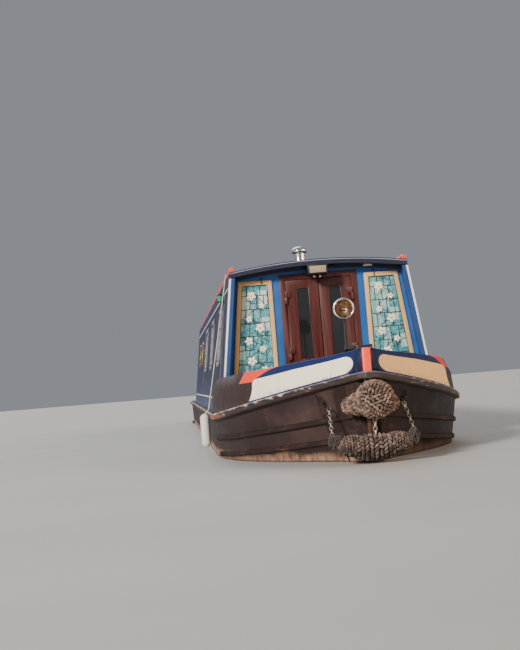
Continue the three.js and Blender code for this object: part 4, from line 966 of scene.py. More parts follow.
class Forge:
    """A piece in the making: bmesh operators behind short calls, all in the boat's own frame."""

    def __init__(self) -> None:
        """Starts an empty piece."""
        self.bm: BMesh = bmesh.new()

    def join(self, other: Forge, place: Matrix | None = None) -> None:
        """Takes over another piece's faces.

        Args:
            other: The piece, which is used up.
            place: Where it goes.
        """
        mesh = bpy.data.meshes.new("part")
        if place is not None:
            bmesh.ops.transform(other.bm, matrix=place, verts=other.bm.verts)
        other.bm.to_mesh(mesh)
        other.bm.free()
        self.bm.from_mesh(mesh)
        bpy.data.meshes.remove(mesh)

    def ease(self, edges: Sequence[BMEdge], width: float) -> None:
        """Rounds edges over.

        Args:
            edges: The edges.
            width: How far back the rounding starts on each face.
        """
        bmesh.ops.bevel(
            self.bm, geom=list(edges), offset=width, offset_type="OFFSET", affect="EDGES", segments=2,
            profile=0.5, material=-1, clamp_overlap=True,
        )

    def box(self, low: Sequence[float], high: Sequence[float], ease: float) -> None:
        """Adds a box with eased edges.

        Args:
            low: Its lowest corner.
            high: Its highest corner.
            ease: The width of its edges' rounding.
        """
        made = bmesh.ops.create_cube(self.bm, size=1.0)["verts"]
        bmesh.ops.scale(self.bm, vec=Vector(high) - Vector(low), verts=made)
        bmesh.ops.translate(self.bm, vec=(Vector(high) + Vector(low)) / 2, verts=made)
        self.ease(list({edge for vert in made for edge in vert.link_edges}), ease)

    def drum(
        self, start: Sequence[float], end: Sequence[float], radius: float, far: float, sides: int = 20,
        ease: float = 0.0,
    ) -> None:
        """Adds a round bar or cone between two points.

        Args:
            start: The centre of its first end.
            end: The centre of its other end.
            radius: The first end's radius.
            far: The other end's radius.
            sides: The number of its sides.
            ease: The rounding of its rims.
        """
        a, b = Vector(start), Vector(end)
        place = Matrix.Translation((a + b) / 2) @ (b - a).to_track_quat("Z", "Y").to_matrix().to_4x4()
        made = bmesh.ops.create_cone(
            self.bm, cap_ends=True, cap_tris=False, segments=sides, radius1=radius, radius2=far,
            depth=(b - a).length, matrix=place,
        )["verts"]
        if ease > 0:
            rims = {edge for vert in made for edge in vert.link_edges}
            self.ease([edge for edge in rims if any(len(face.verts) > 4 for face in edge.link_faces)], ease)

    def ball(
        self, centre: Sequence[float], radii: Sequence[float], sides: int = 20, rings: int = 12,
        turn: Matrix | None = None,
    ) -> list[BMVert]:
        """Adds a ball or egg.

        Args:
            centre: Its centre.
            radii: Its three radii before it is turned.
            sides: The number of meridians.
            rings: The number of rings.
            turn: A rotation about its centre.

        Returns:
            Its vertices.
        """
        place = Matrix.Translation(centre) @ (turn or Matrix.Identity(4)) @ Matrix.Diagonal((*radii, 1))
        return bmesh.ops.create_uvsphere(
            self.bm, u_segments=sides, v_segments=rings, radius=1.0, matrix=place,
        )["verts"]

    def lathe(
        self, profile: Sequence[Pair], centre: Sequence[float], axis: Sequence[float], sides: int = 28,
        place: Matrix | None = None,
    ) -> None:
        """Turns a profile about an axis.

        Args:
            profile: Points as radius and height along the axis.
            centre: The profile's origin.
            axis: The direction of height.
            sides: The number of steps round.
            place: Where the turned piece goes afterwards.
        """
        turned = Forge()
        bm = turned.bm
        up = Vector(axis).normalized()
        out = up.orthogonal().normalized()
        points = [bm.verts.new(Vector(centre) + out * r + up * h) for r, h in profile]
        lines = [bm.edges.new(pair) for pair in zip(points, points[1:])]
        bmesh.ops.spin(
            bm, geom=[*points, *lines], cent=centre, axis=up, angle=math.tau, steps=sides, use_merge=True,
            use_duplicate=False,
        )
        bmesh.ops.remove_doubles(bm, verts=bm.verts, dist=1e-5)
        bmesh.ops.recalc_face_normals(bm, faces=bm.faces)
        self.join(turned, place)

    def ring(
        self, centre: Sequence[float], axis: Sequence[float], radius: float, wire: float, sides: int = 32,
        wire_sides: int = 10, place: Matrix | None = None,
    ) -> None:
        """Adds a round ring of round wire.

        Args:
            centre: Its centre.
            axis: The direction it faces.
            radius: The radius of the wire's middle.
            wire: The wire's radius.
            sides: The number of steps round.
            wire_sides: The number of the wire's sides.
            place: Where the ring goes afterwards.
        """
        turns = [math.tau * i / wire_sides for i in range(wire_sides + 1)]
        profile = [(radius + wire * math.cos(t), wire * math.sin(t)) for t in turns]
        self.lathe(profile, centre, axis, sides, place)

    def plate(self, outline: Sequence[Sequence[float]], push: Sequence[float], ease: float = 0.0) -> None:
        """Adds a flat outline made solid along a direction.

        Args:
            outline: Its corners in order.
            push: How far and which way it is made solid.
            ease: The rounding of all its edges.
        """
        flat = Forge()
        bm = flat.bm
        face = bm.faces.new([bm.verts.new(point) for point in outline])
        made = bmesh.ops.extrude_face_region(bm, geom=[face], use_keep_orig=True)["geom"]
        bmesh.ops.translate(bm, vec=Vector(push), verts=[item for item in made if isinstance(item, BMVert)])
        bmesh.ops.recalc_face_normals(bm, faces=bm.faces)
        if ease > 0:
            flat.ease(bm.edges, ease)
        self.join(flat)

    def tube(self, path: Sequence[Sequence[float]], radius: float, sides: int = 8) -> None:
        """Draws a round section along a path and caps its ends.

        Args:
            path: The points that its centre passes.
            radius: Its radius.
            sides: The number of its sides.
        """
        drawn = Forge()
        bm = drawn.bm
        points = [Vector(point) for point in path]
        ways = [(b - a).normalized() for a, b in zip(points, points[1:])]
        ways = [ways[0], *((a + b).normalized() for a, b in zip(ways, ways[1:])), ways[-1]]
        place = Matrix.Translation(points[0]) @ ways[0].to_track_quat("Z", "Y").to_matrix().to_4x4()
        bmesh.ops.create_circle(
            bm, cap_ends=True, cap_tris=False, segments=sides, radius=radius, matrix=place,
        )
        edges = list(bm.edges)
        for here, there, old, new in zip(points, points[1:], ways, ways[1:]):
            out = bmesh.ops.extrude_edge_only(bm, edges=edges)["geom"]
            edges = [item for item in out if isinstance(item, BMEdge)]
            swing = Matrix.Translation(there) @ old.rotation_difference(new).to_matrix().to_4x4()
            moved = [item for item in out if isinstance(item, BMVert)]
            bmesh.ops.transform(bm, matrix=swing @ Matrix.Translation(-here), verts=moved)
        bmesh.ops.contextual_create(bm, geom=edges)
        bmesh.ops.recalc_face_normals(bm, faces=bm.faces)
        self.join(drawn)

    def chain(self, start: Sequence[float], end: Sequence[float], wire: float, size: float = 0.05) -> None:
        """Hangs a taut chain of oval links, each across the one before, between two points.

        Args:
            start: Its first end.
            end: Its other end.
            wire: The wire's radius.
            size: One link's length.
        """
        a, b = Vector(start), Vector(end)
        count = max(2, round((b - a).length / (size - 3.2 * wire)))
        squeeze = Matrix.Diagonal((1, 0.72, size / (size * 0.72 + 2 * wire), 1))
        along = (b - a).to_track_quat("Z", "Y").to_matrix().to_4x4()
        for i in range(count):
            quarter = Matrix.Rotation(math.pi / 2 * (i % 2), 4, "Z")
            place = Matrix.Translation(a.lerp(b, (i + 0.5) / count)) @ along @ quarter @ squeeze
            self.ring((0, 0, 0), AHEAD, size * 0.36, wire, 16, 6, place)

    def mirror(self) -> None:
        """Adds the piece's mirror image on the other side of the boat."""
        everything = [*self.bm.verts, *self.bm.edges, *self.bm.faces]
        bmesh.ops.mirror(self.bm, geom=everything, matrix=Matrix.Identity(4), merge_dist=1e-6, axis="Y")
        bmesh.ops.recalc_face_normals(self.bm, faces=self.bm.faces)


@dataclass
class Assembly:
    """A part of the boat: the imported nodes, the finishes, and how its pieces are dressed and hung."""

    nodes: dict[str, Object]
    finishes: dict[str, Material]

    def paint(self, finish: str, *names: str) -> None:
        """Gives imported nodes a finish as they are.

        Args:
            finish: The finish's name.
            names: The nodes.
        """
        for name in names:
            mesh = self.nodes[name].data
            mesh.materials.clear()
            mesh.materials.append(self.finishes[finish])
            LOG.info("painted %s with %s", name, finish)

    def hang(
        self, forge: Forge, name: str, finishes: str | Sequence[str], slot: str = "fittings_black",
        body: str = "hull", replaces: Sequence[str] = (), sharp: float = 32.0,
    ) -> Object:
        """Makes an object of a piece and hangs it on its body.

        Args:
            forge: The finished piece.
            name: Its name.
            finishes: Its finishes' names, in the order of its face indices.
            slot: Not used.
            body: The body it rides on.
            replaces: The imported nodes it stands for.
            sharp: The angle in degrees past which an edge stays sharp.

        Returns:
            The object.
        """
        mesh = bpy.data.meshes.new(name)
        forge.bm.to_mesh(mesh)
        forge.bm.free()
        for finish in [finishes] if isinstance(finishes, str) else finishes:
            mesh.materials.append(self.finishes[finish])
        mesh.polygons.foreach_set("use_smooth", [True] * len(mesh.polygons))
        mesh.set_sharp_from_angle(angle=math.radians(sharp))
        made = bpy.data.objects.new(name, mesh)
        bpy.context.scene.collection.objects.link(made)
        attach(made, body)
        if replaces:
            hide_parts(*replaces)
        LOG.info("made %s: %d faces", name, len(mesh.polygons))
        return made

    def refine(
        self, name: str, finishes: str | Sequence[str], slot: str, ease: float = 0.0, body: str = "hull",
        choose: Callable[[BMFace], int] | None = None, sharp: float = 32.0, dissolve: bool = True,
    ) -> Object:
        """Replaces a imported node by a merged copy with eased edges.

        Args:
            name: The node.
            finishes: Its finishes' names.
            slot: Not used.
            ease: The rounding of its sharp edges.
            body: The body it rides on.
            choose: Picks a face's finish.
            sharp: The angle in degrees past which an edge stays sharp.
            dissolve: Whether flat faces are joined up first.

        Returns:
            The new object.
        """
        forge = Forge()
        bm = forge.bm
        bm.from_mesh(self.nodes[name].data)
        bmesh.ops.remove_doubles(bm, verts=bm.verts, dist=2e-5)
        if dissolve:
            bmesh.ops.dissolve_limit(bm, angle_limit=math.radians(0.6), verts=bm.verts, edges=bm.edges)
        if ease > 0:
            forge.ease([edge for edge in bm.edges if edge.is_manifold and edge.calc_face_angle() > 0.5], ease)
        if choose:
            for face in bm.faces:
                face.material_index = choose(face)
        return self.hang(forge, f"{name}_dressed", finishes, slot, body, [name], sharp)


# The hull


@dataclass
class Hull(Assembly):
    """The plating with its rubbing irons, the base plate and the skeg."""

    sections: tuple[str, ...] = ("bow", "side", "swim", "counter")
    irons: tuple[str, ...] = ("hull_blacking", "guard_iron", "strake_iron")
    guard_high: float = 0.052
    proud: float = 0.004
    sharp: float = 24.0

    def iron_of(self, face: BMFace) -> int:
        """Tells plating, guard and lower strakes apart by how far a face stands proud.

        Args:
            face: A face of the hull.

        Returns:
            0 for plating, 1 for the guard and 2 for a strake.
        """
        middle = face.calc_center_median()
        aft = STEM_X - middle.x
        reaches = [abs(vert.co.y) - LINES.half(STEM_X - vert.co.x, vert.co.z) for vert in face.verts]
        if sum(reaches) / len(reaches) < self.proud and aft > 0:
            return 0
        return 1 if middle.z > LINES.deck_edge(aft) - self.guard_high else 2

    def place(self, vert: MeshVertex) -> Point:
        """A point's distance aft, its depth below the hull's top edge, and 1 if it is to port."""
        aft = STEM_X - vert.co.x
        return aft, LINES.deck_edge(aft) - vert.co.z, float(vert.co.y > 0)

    def build(self) -> None:
        """Dresses the hull."""
        for section in self.sections:
            for side in Side:
                name = f"hull_{section}_{side.label}"
                piece = self.refine(name, self.irons, "hull_steel", choose=self.iron_of, sharp=self.sharp)
                mark(piece, "hull_place", self.place)
        self.paint("hull_blacking", "base_plate", "skeg")


@dataclass
class Bow(Assembly):
    """The painted cants, the stem, the fore deck and what stands on it."""

    cap_radius: float = 0.009
    cap_points: int = 12
    cap_lean: tuple[Pair, ...] = ((0.01, 0.014), (0.3, 0.03), (1.6, 0.078), (2.0, 0.08), (3.25, 0.026))
    nose_half: float = 0.034
    port_draw: float = 0.88
    deck_z: float = 1.262
    lamp_x: float = 7.944
    lamp_z: float = 1.731
    bowl: tuple[Pair, ...] = (
        (0, -0.07), (0.019, -0.069), (0.038, -0.06), (0.056, -0.044), (0.068, -0.022), (0.076, 0.002),
        (0.08, 0.024), (0.075, 0.024), (0.066, 0.0), (0.054, -0.03), (0.032, -0.052), (0, -0.058),
    )
    reflector: tuple[Pair, ...] = (
        (0.073, 0.026), (0.065, 0.004), (0.05, -0.024), (0.028, -0.042), (0.008, -0.048),
    )
    flutes: int = 24
    flute_deep: float = 0.0014
    foot_bolts: int = 4
    bolt_circle: float = 0.032
    stud_x: float = 8.714
    stud_drums: tuple[tuple[float, ...], ...] = (
        (0.0003, 0.012, 0.05, 0.048, 0.003), (0.01, 0.15, 0.033, 0.027, 0.0),
        (0.118, 0.168, 0.03, 0.03, 0.006),
    )
    bar_z: float = 1.408
    bar_half: float = 0.102
    bar_radius: float = 0.019
    bar_knob: float = 0.02

    def livery(self, vert: MeshVertex) -> Point:
        """A point's place on the bow; the port side's pattern is drawn out further.

        Args:
            vert: The point.

        Returns:
            Its distance aft, its depth below the top edge and its height above the foot.
        """
        aft = STEM_X - vert.co.x
        drawn = aft * (self.port_draw if vert.co.y > 0 else 1.0)
        below = max(0.0, table_at(LINES.cant_tops, aft) - vert.co.z)
        return drawn, below, vert.co.z - LINES.deck_edge(aft)

    def cants(self) -> None:
        """Paints both cants and adds the rolled bar along their tops."""
        for side in Side:
            name = f"cant_{side.label}"
            piece = self.refine(name, "bow_paint", "bow_paint", sharp=40.0, dissolve=False)
            mark(piece, "bow_place", self.livery)
        path = []
        for aft, top in LINES.cant_tops[:self.cap_points]:
            y = LINES.half(aft, LINES.deck_edge(aft)) - table_at(self.cap_lean, aft) - self.cap_radius
            path.append((x_at(aft), max(self.nose_half, y), top - 0.002))
        caps = Forge()
        caps.tube(path, self.cap_radius, 10)
        caps.mirror()
        mark(self.hang(caps, "cant_cap_bars", "bow_paint", "bow_paint"), "bow_place", self.livery)

    def lamp(self) -> None:
        """Builds the headlamp: a bowl on a post, a bright rim and a ribbed reflector."""
        x, z, deck = self.lamp_x, self.lamp_z, self.deck_z
        shell = Forge()
        shell.lathe(self.bowl, (x, 0, z), AHEAD, 40)
        shell.drum((x, 0, deck + 0.01), (x, 0, z - 0.062), 0.015, 0.013, 18)
        shell.drum((x, 0, deck + 0.0003), (x, 0, deck + 0.012), 0.046, 0.042, 28, 0.002)
        shell.drum((x, 0, z - 0.078), (x, 0, z - 0.055), 0.02, 0.024, 18, 0.002)
        for spot in around(self.foot_bolts, self.bolt_circle):
            foot = Vector((x, 0, deck + 0.011)) + spot
            shell.drum(foot, foot + Vector((0, 0, 0.007)), 0.006, 0.006, 6, 0.001)
        self.hang(shell, "headlamp_bowl", "black_paint", replaces=["headlamp"])
        rim = Forge()
        rim.ring((x + 0.028, 0, z), AHEAD, 0.0765, 0.0065, 48, 12)
        self.hang(rim, "headlamp_rim", "chrome", "vent_metal")
        inner = Forge()
        inner.lathe(self.reflector, (x, 0, z), AHEAD, 3 * self.flutes)
        for vert in inner.bm.verts:
            out = Vector((0, vert.co.y, vert.co.z - z))
            wave = math.cos(self.flutes * math.atan2(out.y, out.z))
            vert.co += out.normalized() * (self.flute_deep * wave) if out.length > 0.02 else Vector()
        inner.ball((x - 0.024, 0, z), (0.014, 0.01, 0.01), 14, 8)
        self.hang(inner, "headlamp_reflector", "lamp_reflector", "vent_metal", sharp=60.0)

    def stud(self) -> None:
        """Builds the T-shaped mooring stud: a foot, a post and a collar, and a bar with knobbed ends."""
        x, z, bar, half = self.stud_x, self.deck_z, self.bar_z, self.bar_half
        forge = Forge()
        for low, high, radius, far, ease in self.stud_drums:
            forge.drum((x, 0, z + low), (x, 0, z + high), radius, far, 24, ease)
        forge.drum((x, -half, bar), (x, half, bar), self.bar_radius, self.bar_radius, 20, 0.006)
        for side in Side:
            inner, outer = (half - self.bar_knob) * side.value, half * side.value
            forge.drum((x, inner, bar), (x, outer, bar), 0.024, 0.022, 20, 0.004)
        self.hang(forge, "mooring_stud_dressed", "black_paint", replaces=["mooring_stud"])

    def build(self) -> None:
        """Builds the whole bow."""
        self.cants()
        self.refine("stem_post", "stem_paint", "bow_paint", 0.012)
        self.refine("fore_deck", "deck_paint", "deck_paint")
        self.refine("locker_lid", "deck_paint", "deck_paint", 0.002, "locker_lid_body")
        self.paint("deck_paint", "well_deck_floor")
        self.stud()
        self.lamp()


# The cabin


@dataclass
class CabinFront(Assembly):
    """The front bulkhead with its doors, its two leaded windows and its small fittings."""

    face: float = 6.133
    window_top: float = 2.109
    window_lean: float = 0.1242
    pane_x: float = 6.129
    pane_inner: float = 0.448
    pane_outer: float = 0.67
    pane_low: float = 1.148
    pane_high: float = 2.071
    quarry_high: float = 0.119
    columns: int = 4
    stagger: float = 0.25
    lead: float = 0.0055
    lead_deep: float = 0.0032
    flower_margin: float = 0.04
    petals: int = 5
    stem_steps: int = 8
    stem_sweep: float = 0.045
    stem_line: tuple[float, float, int] = (0.0026, 0.0012, 6)
    curl_steps: int = 10
    curl_line: tuple[float, float, int] = (0.0021, 0.0011, 5)
    flowers: tuple[Point, ...] = (
        (0.3, 0.94, 0.033), (0.86, 0.83, 0.022), (0.2, 0.7, 0.024), (0.72, 0.6, 0.034), (0.22, 0.47, 0.031),
        (0.8, 0.38, 0.026), (0.36, 0.26, 0.034), (0.84, 0.17, 0.024), (0.24, 0.07, 0.028),
    )
    leaf_x: float = 6.139
    light_y: Pair = (0.08, 0.205)
    light_z: Pair = (1.38, 2.024)
    bead: float = 0.011
    bead_deep: Pair = (0.016, 0.004)
    knob_y: float = 0.04
    knob_z: float = 1.33
    lock_y: Pair = (-0.075, -0.008)
    lock_z: Pair = (1.2, 1.25)
    header_boxes: tuple[tuple[str, str, str, Point, Point, float], ...] = (
        ("header_box", "black_paint", "fittings_black", (6.1415, -0.1, 2.118), (6.33, 0.076, 2.2035), 0.004),
        (
            "header_box_plate", "ivory_plate", "cream_wood", (6.33, -0.083, 2.131), (6.334, 0.061, 2.19),
            0.0015,
        ),
    )
    head_knob: tuple[Pair, ...] = (
        (0, 0), (0.011, 0), (0.01, 0.008), (0.012, 0.014), (0.008, 0.022), (0, 0.024),
    )
    head_knob_y: Pair = (-0.031, 0.021)
    head_knob_z: float = 2.109
    lamp_y: Pair = (0.41, 0.492)
    lamp_z: Pair = (2.166, 2.198)
    bead_x: float = 6.2855
    bead_half: float = 0.776
    bead_steps: int = 24
    strip_x: float = 6.285
    strip_z: Pair = (0.984, 2.137)

    def pane_y(self, share: float, z: float) -> float:
        """A place across the pane at a height, from its inner edge at 0 to its outer edge at 1."""
        return lerp(self.pane_inner, self.pane_outer + (self.window_top - z) * self.window_lean, share)

    def strip(self, leads: Forge, side: Side, start: Pair, end: Pair, wide: float) -> None:
        """Lays one flat lead strip between two places of the pane.

        Args:
            leads: The leads in the making.
            side: The window's side.
            start: Its share across the pane and its height at one end.
            end: The same at its other end.
            wide: Half its width.
        """
        (y0, z0), (y1, z1) = ((self.pane_y(share, z), z) for share, z in (start, end))
        across = Vector((0, z0 - z1, y1 - y0)).normalized() * wide
        a, b = Vector((self.pane_x, y0, z0)), Vector((self.pane_x, y1, z1))
        corners = (a - across, b - across, b + across, a + across)
        leads.plate([(c.x, c.y * side.value, c.z) for c in corners], (self.lead_deep, 0, 0))

    def bars(self, leads: Forge, side: Side) -> None:
        """Lays the border and the staggered bars over one window's glass.

        Args:
            leads: The leads in the making.
            side: The window's side.
        """
        low, high = self.pane_low, self.pane_high
        z, row = low, 0
        while z < high - 0.03:
            top = min(high, z + self.quarry_high)
            self.strip(leads, side, (0, z), (1, z), self.lead / 2)
            for i in range(1, self.columns):
                share = (i + (self.stagger if row % 2 else -self.stagger)) / self.columns
                self.strip(leads, side, (share, z), (share, top), self.lead / 2)
            z, row = top, row + 1
        for share in (0, 1):
            self.strip(leads, side, (share, low), (share, high), self.lead)
        for level in (low, high):
            self.strip(leads, side, (0, level), (1, level), self.lead)

    def stem(self, leads: Forge, side: Side, path: Sequence[Pair], line: tuple[float, float, int]) -> None:
        """Draws one round stem over the glass, kept inside the pane.

        Args:
            leads: The leads in the making.
            side: The window's side.
            path: The points that it passes, as distances off the centre line and heights.
            line: Its radius, how far it stands off the pane and the number of its sides.
        """
        radius, off, sides = line
        points = []
        for y, z in path:
            level = clamp(z, self.pane_low, self.pane_high)
            inside = clamp(y, self.pane_inner, self.pane_y(1, level))
            points.append((self.pane_x + off, inside * side.value, level))
        leads.tube(points, radius, sides)

    def curls(self, leads: Forge, side: Side, head: Pair, size: float, across: float) -> None:
        """Curls a thin stem on either side of a flower.

        Args:
            leads: The leads in the making.
            side: The window's side.
            head: The flower's place.
            size: The flower's size.
            across: The flower's share across the pane, which turns the curls.
        """
        for turned in (-1, 1):
            path = []
            for i in range(self.curl_steps):
                t = i / (self.curl_steps - 1)
                angle = turned * (math.pi * 1.6 * t + 0.6) + across
                reach = size * lerp(1.9, 0.5, t)
                y = head[0] + turned * size * 0.9 + reach * math.cos(angle)
                path.append((y, head[1] - size * 0.6 + reach * math.sin(angle)))
            self.stem(leads, side, path, self.curl_line)

    def leaded(self, side: Side) -> None:
        """Lays one window's leads, its stems and its flowers.

        Args:
            side: The window's side.
        """
        leads, petals, hearts = Forge(), Forge(), Forge()
        self.bars(leads, side)
        heads = []
        keep = self.flower_margin
        for across, up, size in self.flowers:
            z = lerp(self.pane_low + keep, self.pane_high - keep, up)
            share = across if side is Side.PORT else 1 - across
            y = lerp(self.pane_inner + keep, self.pane_y(1, z) - keep, share)
            heads.append((y, z))
            self.curls(leads, side, (y, z), size, across)
            middle = Vector((self.pane_x, y * side.value, z))
            for i in range(self.petals):
                turn = Matrix.Rotation(math.tau * i / self.petals + across * 3, 4, "X")
                centre = middle + Vector((0.003, 0, 0)) + turn @ Vector((0, size * 0.66, 0))
                petals.ball(centre, (0.0035, size * 0.6, size * 0.43), 12, 6, turn)
            leads.ring(middle + Vector((0.001, 0, 0)), AHEAD, size * 0.8, 0.002, 24, 5)
            hearts.ball(middle + Vector((0.0065, 0, 0)), (0.003, size * 0.26, size * 0.26), 12, 6)
        heads.append((self.pane_y(0.5, self.pane_low), self.pane_low))
        steps = [i / self.stem_steps for i in range(self.stem_steps + 1)]
        for (y0, z0), (y1, z1) in zip(heads, heads[1:]):
            sweep = math.copysign(self.stem_sweep, y1 - y0)
            path = [(lerp(y0, y1, t) + sweep * math.sin(math.pi * t), lerp(z0, z1, t)) for t in steps]
            self.stem(leads, side, path, self.stem_line)
        for forge, kind, finish in (
            (leads, "leads", "lead_came"), (petals, "petals", "petal_glass"),
            (hearts, "hearts", "amber_glass"),
        ):
            self.hang(forge, f"window_{kind}_{side.label}", finish, "leaded_glass")

    def windows(self) -> None:
        """Dresses both front windows and hangs a hook over each."""
        for side in Side:
            self.paint("leaded_glass", f"front_window_glass_{side.label}")
            self.refine(f"front_window_frame_{side.label}", "cream_paint", "cream_wood", 0.004)
            self.leaded(side)
            hook = Forge()
            x, y = self.face, side.value * 0.5
            hook.drum((x, y, 2.13), (x + 0.012, y, 2.13), 0.009, 0.007, 12, 0.001)
            bend = ((0.012, 2.13), (0.022, 2.125), (0.024, 2.1), (0.019, 2.075))
            hook.tube([(x + out, y, z) for out, z in bend], 0.0028, 8)
            self.hang(hook, f"window_hook_{side.label}", "black_paint")

    def doors(self) -> None:
        """Dresses the door frame and both leaves with their beads and furniture."""
        self.refine("front_door_frame", "mahogany", "mahogany", 0.003)
        x, wide, (y0, y1), (z0, z1) = self.leaf_x, self.bead, self.light_y, self.light_z
        for side in Side:
            body = f"front_door_{side.label}_leaf"
            self.refine(f"front_door_{side.label}", "mahogany", "mahogany", 0.0025, body)
            self.paint("door_glass", f"front_door_glass_{side.label}")
            bead = Forge()
            for inner, outer, low, high in (
                (y0, y0 + wide, z0, z1), (y1 - wide, y1, z0, z1),
                (y0 + wide, y1 - wide, z0, z0 + wide), (y0 + wide, y1 - wide, z1 - wide, z1),
            ):
                a, b = sorted((inner * side.value, outer * side.value))
                bead.box((x - self.bead_deep[0], a, low), (x - self.bead_deep[1], b, high), 0.003)
            self.hang(bead, f"front_door_bead_{side.label}", "mahogany", "mahogany", body)
        knob = Forge()
        y, z = self.knob_y, self.knob_z
        knob.box((x, y - 0.018, z - 0.05), (x + 0.003, y + 0.018, z + 0.05), 0.001)
        knob.lathe(KNOB, (x + 0.002, y, z), AHEAD, 20)
        self.hang(knob, "front_door_knob", "brass", "tiller_metal", "front_door_port_leaf")
        lock = Forge()
        (y0, y1), (z0, z1) = self.lock_y, self.lock_z
        lock.box((x, y0, z0), (x + 0.012, y1, z1), 0.002)
        y, z = y1 - 0.032, (z0 + z1) / 2
        lock.drum((x + 0.011, y, z), (x + 0.016, y, z), 0.01, 0.009, 16, 0.001)
        self.hang(lock, "front_door_lock", "brass", "tiller_metal", "front_door_starboard_leaf")

    def header(self) -> None:
        """Adds the blank name box, the small lamp, and the bead under the roof's edge, whose pale colour is a
        painted highlight of the lit edge.
        """
        x, (y0, y1), (z0, z1) = self.face, self.lamp_y, self.lamp_z
        for name, finish, slot, low, high, ease in self.header_boxes:
            box = Forge()
            box.box(low, high, ease)
            self.hang(box, name, finish, slot)
        knobs, lamp, bead = Forge(), Forge(), Forge()
        for y in self.head_knob_y:
            knobs.lathe(self.head_knob, (x + 0.008, y, self.head_knob_z), AHEAD, 16)
        self.hang(knobs, "door_head_knobs", "white_paint", "vent_metal")
        lamp.box((x, y0, z0), (x + 0.012, y1, z1), 0.003)
        lamp.ball((x + 0.012, (y0 + y1) / 2, (z0 + z1) / 2), (0.02, 0.034, 0.012), 20, 10)
        self.hang(lamp, "courtesy_lamp", "white_paint")
        shares = [i / self.bead_steps for i in range(self.bead_steps + 1)]
        steps = [lerp(-self.bead_half, self.bead_half, share) for share in shares]
        # pale bead: painted highlight along the roof's front edge
        bead.tube([(self.bead_x, y, LINES.roof(y) - 0.012) for y in steps], 0.0035, 8)
        self.hang(bead, "roof_front_bead", "edge_paint", "roof_paint")

    def edge_strips(self) -> None:
        """Adds the white strip down the front edge of each cabin side."""
        forge = Forge()
        (low, high), x = self.strip_z, self.strip_x
        corners = ((0.018, low), (0.001, low), (0.001, high), (0.018, high))
        forge.plate([(x, LINES.cabin_half(z) - back, z) for back, z in corners], (0.004, 0, 0), 0.001)
        forge.mirror()
        self.hang(forge, "cabin_edge_strips", "white_paint", "cabin_paint")

    def build(self) -> None:
        """Builds the cabin's front."""
        self.paint("bulkhead_paint", "front_bulkhead")
        self.windows()
        self.doors()
        self.header()
        self.edge_strips()


